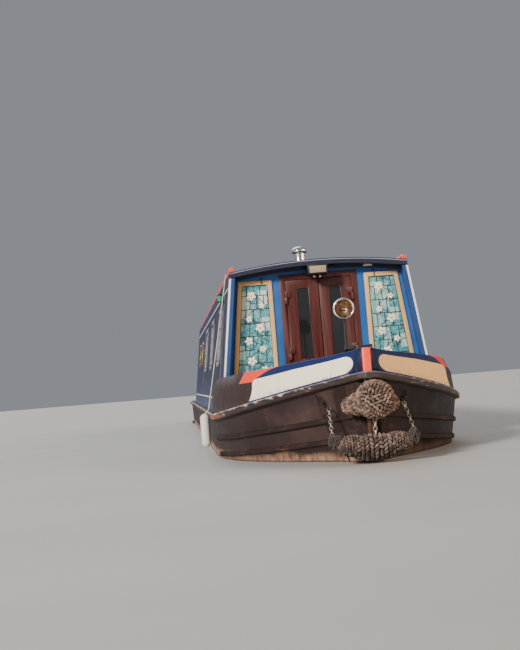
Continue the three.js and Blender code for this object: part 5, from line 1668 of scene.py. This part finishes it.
@dataclass
class CabinSides(Assembly):
    """The cabin's two sides with windows, portholes and navigation lights."""

    window_aft: tuple[float, ...] = (4.7, 7.5, 10.3)
    window_half: float = 0.46
    sill: float = 1.42
    head: float = 1.96
    hopper_z: float = 1.79
    hopper_half: float = 0.426
    hopper_bars: tuple[tuple[float, ...], ...] = (
        (-1.0, 1.0, -0.011, 0.011, 0.0115), (-0.35, -0.2, -0.007, 0.005, 0.0055),
        (0.2, 0.35, -0.007, 0.005, 0.0055),
    )
    screws: int = 8
    screw_inset: float = 0.014
    screw_proud: float = 0.0076
    stile_screws: Point = (1.56, 1.69, 1.82)
    glass_depth: Pair = (0.0105, 0.0195)
    port_aft: Pair = (12.7, 14.3)
    port_z: float = 1.7
    port_radius: float = 0.15
    port_ring: tuple[Pair, ...] = (
        (-0.014, -0.03), (-0.001, -0.03), (-0.001, 0.0005), (0.028, 0.0005), (0.028, 0.005), (0.02, 0.012),
        (0.004, 0.014), (-0.01, 0.011), (-0.014, 0.004), (-0.014, -0.03),
    )
    port_bolts: int = 8
    light_x: float = 5.06
    light_z: float = 2.037
    lens_out: float = 0.03
    lens_half: float = 0.024

    def side_finish(self, face: BMFace) -> int:
        """Paint outside, plain blue on the inner faces and ends."""
        middle = face.calc_center_median()
        return 0 if abs(middle.y) > LINES.cabin_half(middle.z) - 0.004 and abs(face.normal.x) < 0.5 else 1

    def pane_or_rim(self, face: BMFace) -> int:
        """Glass where a face lies in the pane's depth, and metal elsewhere."""
        depths = [LINES.cabin_half(vert.co.z) - abs(vert.co.y) for vert in face.verts]
        return 1 if min(depths) > self.glass_depth[0] and max(depths) < self.glass_depth[1] else 0

    def trim(self, side: Side) -> None:
        """Adds the hopper bars, their catches and the rims' screws to one side's windows.

        Args:
            side: The side they are on.
        """
        forge = Forge()
        out = side.value
        long, inset = self.hopper_half, self.screw_inset
        spread = [lerp(0.03 - long, long - 0.03, i / (self.screws - 1)) for i in range(self.screws)]
        spots = [(along, z) for along in spread for z in (self.sill + inset, self.head - inset)]
        spots += [(end * (self.window_half - inset), z) for z in self.stile_screws for end in (-1, 1)]
        for x in map(x_at, self.window_aft):
            for start, end, low, high, deep in self.hopper_bars:
                foot, top = self.hopper_z + low, self.hopper_z + high
                y0, y1 = (out * (LINES.cabin_half(z) - deep) for z in (foot, top))
                x0, x1 = x + start * long, x + end * long
                corners = ((x0, y0, foot), (x1, y0, foot), (x1, y1, top), (x0, y1, top))
                forge.plate(corners, (0, out * 0.008, 0), 0.001)
            for along, z in spots:
                y = out * (LINES.cabin_half(z) + self.screw_proud)
                forge.drum((x + along, y, z), (x + along, y + out * 0.0022, z), 0.0045, 0.0035, 8)
        self.hang(forge, f"side_window_trim_{side.label}", "window_alloy", "window_unit")

    def porthole(self, side: Side, aft: float, name: str) -> None:
        """Fits a brass porthole with its glass, bolts and spigot.

        Args:
            side: The side it is on.
            aft: Its centre's distance aft.
            name: The piece's name.
        """
        centre = Vector((x_at(aft), side.value * LINES.cabin_half(self.port_z), self.port_z))
        axis = Vector((0, side.value, LINES.lean)).normalized()
        across = axis.orthogonal().normalized()
        r = self.port_radius
        ring, pane = Forge(), Forge()
        ring.lathe([(r + out, high) for out, high in self.port_ring], centre, axis, 48)
        for i in range(self.port_bolts):
            turn = Matrix.Rotation(math.tau * (i + 0.5) / self.port_bolts, 3, axis)
            spot = centre + turn @ (across * (r + 0.015))
            ring.drum(spot + axis * 0.009, spot + axis * 0.016, 0.006, 0.005, 6)
        self.hang(ring, name, "brass", "vent_metal")
        pane.drum(centre - axis * 0.022, centre - axis * 0.016, r - 0.0138, r - 0.0138, 40)
        self.hang(pane, f"{name}_glass", "window_glass", "window_unit")

    def light(self, side: Side) -> None:
        """Fits a navigation light: a black housing round a coloured lens.

        Args:
            side: The side it is on.
        """
        x, z, out, half = self.light_x, self.light_z, side.value, self.lens_half
        wall = out * (LINES.cabin_half(z) + 0.002)
        back, front = sorted((wall, wall + out * 0.012))
        y = wall + out * self.lens_out
        housing, lens = Forge(), Forge()
        housing.box((x - 0.045, back, z - 0.04), (x + 0.045, front, z + 0.04), 0.003)
        housing.drum((x, y, z - 0.036), (x, y, z - half), 0.034, 0.034, 24, 0.002)
        housing.drum((x, y, z + half), (x, y, z + 0.04), 0.034, 0.026, 24, 0.002)
        self.hang(housing, f"side_light_{side.label}", "black_paint")
        lens.drum((x, y, z - half), (x, y, z + half), 0.03, 0.03, 24)
        colour = "red_lens" if side is Side.PORT else "green_lens"
        self.hang(lens, f"side_light_lens_{side.label}", colour, "window_unit")

    def build(self) -> None:
        """Builds both cabin sides."""
        for side in Side:
            label = side.label
            self.refine(
                f"cabin_side_{label}", ("cabin_paint", "inner_blue"), "cabin_paint", choose=self.side_finish,
            )
            for i in range(len(self.window_aft)):
                self.refine(
                    f"side_window_{i + 1}_{label}", ("window_alloy", "window_glass"), "window_unit",
                    choose=self.pane_or_rim,
                )
            self.trim(side)
            for i, aft in enumerate(self.port_aft):
                self.porthole(side, aft, f"porthole_{i + 1}_{label}")
            self.light(side)


@dataclass
class Roof(Assembly):
    """The roof with its rails, vents, chimney and slide hatch."""

    vents: tuple[tuple[str, float, float], ...] = (
        ("front", 3.4, -0.11), ("middle", 8.3, 0.0), ("rear", 12.9, 0.0),
    )
    vent_screws: int = 4
    screw_circle: float = 0.063
    vent_foot: tuple[Pair, ...] = (
        (0, -0.002), (0.074, -0.002), (0.074, 0.004), (0.07, 0.008), (0.056, 0.011), (0.052, 0.018),
    )
    vent_cap: tuple[Pair, ...] = (
        (0.052, -0.066), (0.064, -0.062), (0.071, -0.054), (0.074, -0.044), (0.072, -0.034), (0.063, -0.021),
        (0.046, -0.009), (0.024, -0.002), (0, 0),
    )
    chimney: Pair = (-5.756, -0.43)
    chimney_radius: float = 0.072
    bands: Point = (2.458, 2.498, 2.608)
    band: tuple[Pair, ...] = (
        (-0.001, 0), (0.003, 0), (0.004, 0.004), (0.004, 0.02), (0.003, 0.024), (-0.001, 0.024),
    )

    def vent(self, name: str, aft: float, y: float) -> None:
        """Replaces a vent by a turned one with a domed cap, a flange and its screws.

        Args:
            name: The node.
            aft: Its distance aft.
            y: Its sideways place.
        """
        base, top = LINES.roof(abs(y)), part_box(name)[1].z
        profile = [(r, base + h) for r, h in self.vent_foot] + [(r, top + h) for r, h in self.vent_cap]
        forge = Forge()
        forge.lathe(profile, (x_at(aft), y, 0), UP, 40)
        for spot in around(self.vent_screws, self.screw_circle):
            foot = Vector((x_at(aft), y, base + 0.007)) + spot
            forge.drum(foot, foot + Vector((0, 0, 0.004)), 0.004, 0.003, 8)
        self.hang(forge, f"{name}_dressed", "chrome", "vent_metal", replaces=[name], sharp=40.0)

    def build(self) -> None:
        """Builds the roof."""
        self.refine(
            "cabin_roof", ("roof_paint", "navy_paint"), "roof_paint",
            choose=lambda face: int(abs(face.normal.x) > 0.5), sharp=28.0,
        )
        for side in Side:
            self.refine(f"handrail_{side.label}", "coral_paint", "handrail_paint", 0.004)
        for place, aft, y in self.vents:
            self.vent(f"mushroom_vent_{place}", aft, y)
        self.refine("chimney", "black_paint", "fittings_black", 0.001)
        bands = Forge()
        for z in self.bands:
            bands.lathe([(self.chimney_radius + out, h) for out, h in self.band], (*self.chimney, z), UP, 40)
        self.hang(bands, "chimney_bands", "brass")
        self.refine("slide_hatch", "roof_paint", "roof_paint", 0.002, "slide_hatch_body")


# The stern


@dataclass
class Stern(Assembly):
    """The stern deck, the rear doors, the steering gear, the propeller and the engine."""

    bar_from: float = -8.5
    grip_from: float = -7.97
    stud_from: float = 0.995
    knob_at: Point = (-7.914, 0.045, 1.56)

    def tiller_finish(self, face: BMFace) -> int:
        """Paint on the swan neck, brass on the bar and wood on the grip."""
        x = face.calc_center_median().x
        return int(x > self.bar_from) + int(x > self.grip_from)

    def build(self) -> None:
        """Builds the stern."""
        self.refine(
            "counter_deck", ("deck_paint", "black_paint"), "deck_paint",
            choose=lambda face: int(face.calc_center_median().z > self.stud_from),
        )
        self.paint("inner_blue", "rear_bulkhead")
        self.refine("rear_door_frame", "mahogany", "mahogany", 0.003)
        for side in Side:
            name = f"rear_door_{side.label}"
            self.refine(name, "mahogany", "mahogany", 0.0025, f"{name}_leaf")
        knob = Forge()
        knob.lathe(KNOB, self.knob_at, (-1, 0, 0), 20)
        self.hang(knob, "rear_door_knob", "brass", "tiller_metal", "rear_door_port_leaf")
        self.paint("floor_boards", "cabin_floor")
        self.paint("engine_iron", "engine")
        self.refine("rudder", "hull_blacking", "hull_steel", 0.003, "steering")
        tiller = ("coral_paint", "brass", "ash_wood")
        self.refine("tiller", tiller, "tiller_metal", body="steering", choose=self.tiller_finish, sharp=50.0)
        self.refine("propeller", "bronze", "propeller_bronze", 0.0015, "propeller_body")


# Fenders


@dataclass
class Egg:
    """One rounded part of a rope fender: its centre, its three radii and how its stitches lie."""

    centre: Point
    radii: Point
    swirl: bool = True
    fine: float = 1.0
    tarred: bool = False

    def holds(self, point: Vector, margin: float) -> bool:
        """Whether a point lies inside, a margin deep."""
        parts = [(p - c) / max(1e-3, r - margin) for p, c, r in zip(point, self.centre, self.radii)]
        return sum(part * part for part in parts) < 1

    def lift(self, point: Vector, bed: float) -> float:
        """How far a point stands out of the core: 0 at the bed's depth and 1 at the surface."""
        share = math.sqrt(sum(((p - c) / r) ** 2 for p, c, r in zip(point, self.centre, self.radii)))
        return clamp(1 + (share - 1) * sum(self.radii) / 3 / bed)


@dataclass
class RopeFender(Assembly):
    """A fender of knotted rope: rows of slanting stitches over a stuffed core."""

    name: str
    node: str
    eggs: Sequence[Egg]
    rope: str = "fender_rope"
    stitch: Point = (0.0195, 0.0092, 0.0165)
    row: float = 0.0265
    spacing: float = 0.033
    sink: float = 0.0166
    bed: float = 0.004
    loops: int = 9
    loop_lean: float = 0.7
    loop_stray: float = 0.014
    loop_radius: Pair = (0.034, 0.045)
    batch: int = 30
    pole: Vector = field(default_factory=lambda: Vector((0, 1, 0)))

    def swirled(self, egg: Egg, luck: random.Random) -> list[tuple[Vector, float, float]]:
        """Spreads the stitches of one part evenly in a spiral, each lying its own way.

        Args:
            egg: The part to cover.
            luck: The source of the small unevenness.

        Returns:
            A point on the unit ball, the turn of its stitch and a size for each stitch.
        """
        mean = sum(egg.radii) / 3
        count = round(4 * math.pi * mean**2 / (self.row * self.spacing * egg.fine**2))
        found = []
        for i in range(count):
            up = 1 - 2 * (i + 0.5) / count
            angle = i * math.pi * (3 - math.sqrt(5))
            side = math.sqrt(1 - up * up)
            unit = Vector((side * math.cos(angle), up, side * math.sin(angle)))
            lay = 0.9 * math.sin(3.1 * unit.z + 1.3 * unit.y) + luck.uniform(-0.75, 0.75)
            found.append((unit, lay, egg.fine * luck.uniform(0.85, 1.12)))
        return found

    def plaited(self, egg: Egg, luck: random.Random) -> list[tuple[Vector, float, float]]:
        """Spreads the stitches of one part in rows that slant one way and the other in turn.

        Args:
            egg: The part to cover.
            luck: The source of the small unevenness.

        Returns:
            A point on the unit ball, the turn of its stitch and a size for each stitch.
        """
        found = []
        girth_radius = (egg.radii[0] + egg.radii[2]) / 2
        meridian = math.pi * math.sqrt((egg.radii[1]**2 + girth_radius**2) / 2)
        rows = max(5, round(meridian / (self.row * egg.fine)))
        for i in range(rows):
            polar = math.pi * (i + 0.5) / rows
            girth = math.tau * math.sin(polar) * girth_radius
            count = max(3, round(girth / (self.spacing * egg.fine)))
            for k in range(count):
                angle = math.tau * (k + (i % 2) * 0.5) / count + luck.uniform(-0.04, 0.04)
                out = math.sin(polar)
                unit = Vector((out * math.cos(angle), math.cos(polar), out * math.sin(angle)))
                lay = (1 if i % 2 else -1) * math.radians(luck.uniform(30, 62))
                found.append((unit, lay, egg.fine * luck.uniform(0.92, 1.15)))
        return found

    def stitches(self, forge: Forge, egg: Egg, luck: random.Random) -> None:
        """Covers one part with stitches, leaving out those that would lie inside another part.

        Args:
            forge: The piece in the making.
            egg: The part to cover.
            luck: The source of the small unevenness.
        """
        radii = Vector(egg.radii)
        spots = self.swirled(egg, luck) if egg.swirl else self.plaited(egg, luck)
        for start in range(0, len(spots), self.batch):
            sewn = Forge()
            tone = sewn.bm.verts.layers.float.new("tone")
            for unit, lay, size in spots[start:start + self.batch]:
                normal = Vector([u / r for u, r in zip(unit, radii)]).normalized()
                where = Vector(egg.centre) + unit * radii - normal * self.sink * min(1.0, size)
                if any(other is not egg and other.holds(where, self.sink + 0.002) for other in self.eggs):
                    continue
                around = self.pole.cross(normal).normalized()
                way = Matrix.Rotation(lay, 3, normal) @ normal.cross(around)
                basis = Matrix((way, normal.cross(way), normal)).transposed().to_4x4()
                shade = luck.random()
                for vert in sewn.ball(where, [part * size for part in self.stitch], 8, 5, basis):
                    vert[tone] = shade
            for face in sewn.bm.faces:
                face.material_index = int(egg.tarred)
            forge.join(sewn)

    def tangle(self, forge: Forge, egg: Egg, luck: random.Random) -> None:
        """Ties loose loops of tarred line round one part.

        Args:
            forge: The piece in the making.
            egg: The part to tie up.
            luck: The source of the loops' turns.
        """
        knot = Forge()
        lean, stray = self.loop_lean, self.loop_stray
        for _ in range(self.loops):
            pitch, swing = luck.uniform(-lean, lean), luck.uniform(-lean, lean)
            turn = Matrix.Rotation(pitch, 4, "X") @ Matrix.Rotation(swing, 4, "Z")
            offset = Vector([luck.uniform(-stray, stray) for _ in range(3)])
            place = Matrix.Translation(Vector(egg.centre) + offset) @ turn
            knot.ring((0, 0, 0), self.pole, luck.uniform(*self.loop_radius), 0.0062, 20, 7, place)
        for face in knot.bm.faces:
            face.material_index = 1
        forge.join(knot)

    def build(self) -> None:
        """Builds the fender."""
        luck = random.Random(SEED + len(self.name))
        deep = self.sink + self.bed
        core, sewn = Forge(), Forge()
        for egg in self.eggs:
            core.ball(egg.centre, [radius - deep for radius in egg.radii], 28, 16)
            self.stitches(sewn, egg, luck)
            if egg.tarred:
                self.tangle(sewn, egg, luck)
        # the core's near-black finish is painted shade in the gaps between stitches
        self.hang(core, f"{self.name}_core", "fender_core", "fender_rope", replaces=[self.node], sharp=80.0)
        piece = self.hang(sewn, f"{self.name}_rope", (self.rope, "tarred_rope"), "fender_rope", sharp=180.0)
        shades = [tone.value for tone in piece.data.attributes["tone"].data]

        def lifted(vert: MeshVertex) -> Point:
            """How far a point stands out of the core, and its stitch's own shade."""
            return max(egg.lift(vert.co, deep) for egg in self.eggs), shades[vert.index], 0.0

        mark(piece, "lift", lifted)


@dataclass
class Fenders(Assembly):
    """All the boat's fenders with the chains and lines that hold them."""

    eye_x: float = 8.744
    eye_z: float = 1.031
    side_aft: float = 3.55
    side_y: float = 1.0839
    side_radius: float = 0.042
    skin: tuple[Pair, ...] = (
        (0, 0.668), (0.012, 0.668), (0.02, 0.672), (0.03, 0.68), (0.039, 0.692), (0.042, 0.705),
        (0.042, 0.935), (0.039, 0.948), (0.03, 0.96), (0.02, 0.968), (0.012, 0.972), (0, 0.972),
    )
    strap: tuple[Point, ...] = ((9.236, -0.03, 0.79), (9.246, -0.028, 0.85), (9.256, -0.024, 0.92))

    def bow_ropes(self) -> None:
        """Builds the button on the stem and the long fender under it."""
        button = [Egg((9.309, 0.012, 1.04), (0.15, 0.142, 0.138))]
        sausage = [Egg((9.228, 0.0, 0.712), (0.098, 0.205, 0.098), False)]
        for side in Side:
            s = side.value
            button += [
                Egg((9.219, s * 0.092, 1.016), (0.096, 0.088, 0.084)),
                Egg((9.138, s * 0.142, 1.006), (0.066, 0.066, 0.066)),
            ]
            sausage += [
                Egg((9.224, s * 0.154, 0.732), (0.08, 0.112, 0.08), False, 0.72),
                Egg((9.206, s * 0.272, 0.764), (0.046, 0.054, 0.05), True, 0.7, True),
            ]
        for name, node, eggs, rope in (
            ("bow_button", "bow_button_fender", button, "fender_rope"),
            ("bow_sausage", "bow_sausage_fender", sausage, "damp_rope"),
        ):
            RopeFender(self.nodes, self.finishes, name, node, eggs, rope).build()

    def stern_rope(self) -> None:
        """Builds the stern's fender."""
        eggs = [Egg((-9.324, 0.0, 0.8), (0.135, 0.15, 0.14))]
        eggs += [Egg((-9.274, side.value * 0.115, 0.79), (0.085, 0.11, 0.082)) for side in Side]
        RopeFender(self.nodes, self.finishes, "stern_rope", "stern_fender", eggs, "fender_rope").build()

    def chains(self) -> None:
        """Hangs the long fender on its chains, its strap and the hooks on the hull's eyes."""
        chains, centre, strap, eyes = (Forge() for _ in range(4))
        reach = LINES.half(STEM_X - self.eye_x, 1.045) - 0.002
        for side in Side:
            s = side.value
            low, high = Vector((9.2, s * 0.288, 0.785)), Vector((8.9, s * 0.268, 0.998))
            chains.chain(low, high, 0.0038)
            foot = Vector((self.eye_x, s * reach, self.eye_z))
            eyes.drum(foot, foot + Vector((0.002, s * 0.006, 0)), 0.03, 0.028, 20, 0.001)
            eye = foot + Vector((0.002, s * 0.018, 0))
            eyes.ring(eye, (0, 0.3, 1), 0.017, 0.006, 20, 8)
            eyes.tube([eye, eye.lerp(high, 0.5), high, high.lerp(low, 0.06)], 0.0052, 8)
        centre.chain((9.24, 0.004, 0.79), (9.268, 0.008, 0.915), 0.0046)
        strap.tube(self.strap, 0.007, 8)
        self.hang(chains, "fender_chains", "galvanised_chain", "fender_rope")
        self.hang(centre, "fender_centre_chain", "galvanised_chain", "fender_rope")
        self.hang(strap, "fender_centre_strap", "rusty_chain", "fender_rope")
        self.hang(eyes, "fender_chain_eyes", "black_paint")

    def side_fender(self, side: Side) -> None:
        """Builds one slim side fender: a pale skin with moulded rings, and its line to the handrail.

        Args:
            side: The side it hangs on.
        """
        node = f"side_fender_{side.label}"
        x, y = x_at(self.side_aft), side.value * self.side_y
        body, line = Forge(), Forge()
        body.lathe(self.skin, (x, y, 0), UP, 32)
        for z in (0.712, 0.928):
            body.ring((x, y, z), UP, self.side_radius, 0.002, 32, 6)
        self.hang(body, f"{node}_dressed", "fender_skin", "side_fender_skin", replaces=[node])
        foot = Vector((x, y, 0.966))
        shoulder = Vector((x, side.value * (LINES.half_deck + 0.035), 0.985))
        rail = Vector((x, side.value * 0.7863, LINES.roof(0.78) + 0.03))
        slack = shoulder.lerp(foot, 0.35) + Vector((0, 0, 0.01))
        line.tube([foot, slack, shoulder.lerp(rail, 0.02), rail], 0.0048, 10)
        self.hang(line, f"{node}_line", "fender_line", "fender_rope")

    def build(self) -> None:
        """Builds every fender."""
        self.bow_ropes()
        self.chains()
        self.stern_rope()
        for side in Side:
            self.side_fender(side)


# The studio


@dataclass
class Studio:
    """The camera, the floor at the waterline and the lights."""

    eye: Point = (20.196, -1.373, 1.227)
    yaw: float = 0.059
    pitch: float = 0.035
    roll: float = -0.082
    focal_pixels: float = 1600.0
    tall_pixels: float = 650.0
    sensor: float = 36.0
    floor_half: float = 90.0
    sky: tuple[float, ...] = (0.6, 0.63, 0.7, 1)
    sky_strength: float = 0.42

    def camera(self) -> None:
        """Sets the camera where the photograph was taken from."""
        level_run = math.cos(self.pitch)
        ahead, aside = -math.cos(self.yaw) * level_run, math.sin(self.yaw) * level_run
        forward = Vector((ahead, aside, math.sin(self.pitch)))
        level = forward.cross(Vector(UP)).normalized()
        over = level.cross(forward)
        right = level * math.cos(self.roll) + over * math.sin(self.roll)
        up = over * math.cos(self.roll) - level * math.sin(self.roll)
        data = bpy.data.cameras.new("camera")
        data.sensor_fit = "VERTICAL"
        data.sensor_height = self.sensor
        data.lens = self.focal_pixels / self.tall_pixels * self.sensor
        data.clip_end = 400.0
        camera = bpy.data.objects.new("camera", data)
        turn = Matrix((right, up, -forward)).transposed().to_4x4()
        camera.matrix_world = Matrix.Translation(self.eye) @ turn
        bpy.context.scene.collection.objects.link(camera)
        bpy.context.scene.camera = camera

    def floor(self) -> None:
        """Lays the pale floor at the waterline."""
        mix = Mixer("studio_floor")
        tone = mix.ramp(mix.cloud(0.6, 3.0), (0.3, (0.4, 0.395, 0.39)), (0.7, (0.44, 0.435, 0.43)))
        mix.surface(base_color=tone, roughness=0.5)
        mesh = bpy.data.meshes.new("studio_floor")
        bm = bmesh.new()
        level = Matrix.Translation((0, 0, WATERLINE))
        bmesh.ops.create_grid(bm, x_segments=2, y_segments=2, size=self.floor_half, matrix=level)
        bm.to_mesh(mesh)
        bm.free()
        mesh.materials.append(mix.material)
        floor = bpy.data.objects.new("studio_floor", mesh)
        bpy.context.scene.collection.objects.link(floor)

    def sun(self, name: str, source: Point, strength: float, spread: float, colour: Colour) -> None:
        """Hangs one soft light that falls evenly on the whole floor.

        Args:
            name: Its name.
            source: The direction that it comes from.
            strength: Its strength.
            spread: Its width in the sky, in degrees.
            colour: Its colour.
        """
        data = bpy.data.lights.new(name, "SUN")
        data.angle = math.radians(spread)
        data.energy = strength
        data.color = colour
        lamp = bpy.data.objects.new(name, data)
        lamp.matrix_world = Vector(source).to_track_quat("Z", "Y").to_matrix().to_4x4()
        bpy.context.scene.collection.objects.link(lamp)

    def build(self) -> None:
        """Sets up the whole studio."""
        self.camera()
        self.floor()
        world = bpy.data.worlds.new("studio")
        world.use_nodes = True
        background = world.node_tree.nodes["Background"]
        background.inputs["Color"].default_value = self.sky
        background.inputs["Strength"].default_value = self.sky_strength
        bpy.context.scene.world = world
        self.sun("key", (1.0, -0.8, 0.6), 5.4, 10.0, (1.0, 0.91, 0.79))
        self.sun("fill", (0.5, 1.0, 0.4), 2.3, 50.0, (1.0, 0.72, 0.44))
        self.sun("back", (-1.0, -0.2, 0.8), 0.8, 40.0, (0.88, 0.93, 1.0))


def main() -> None:
    """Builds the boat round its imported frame."""
    logging.basicConfig(level=logging.INFO, format="%(name)s: %(message)s")
    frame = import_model()
    Studio().build()
    finishes = {finish.name: finish.make() for finish in FINISHES}
    for part in (Hull, Bow, CabinFront, CabinSides, Roof, Stern, Fenders):
        LOG.info("building %s", part.__name__)
        part(frame["nodes"], finishes).build()


if __name__ == "__main__":
    main()
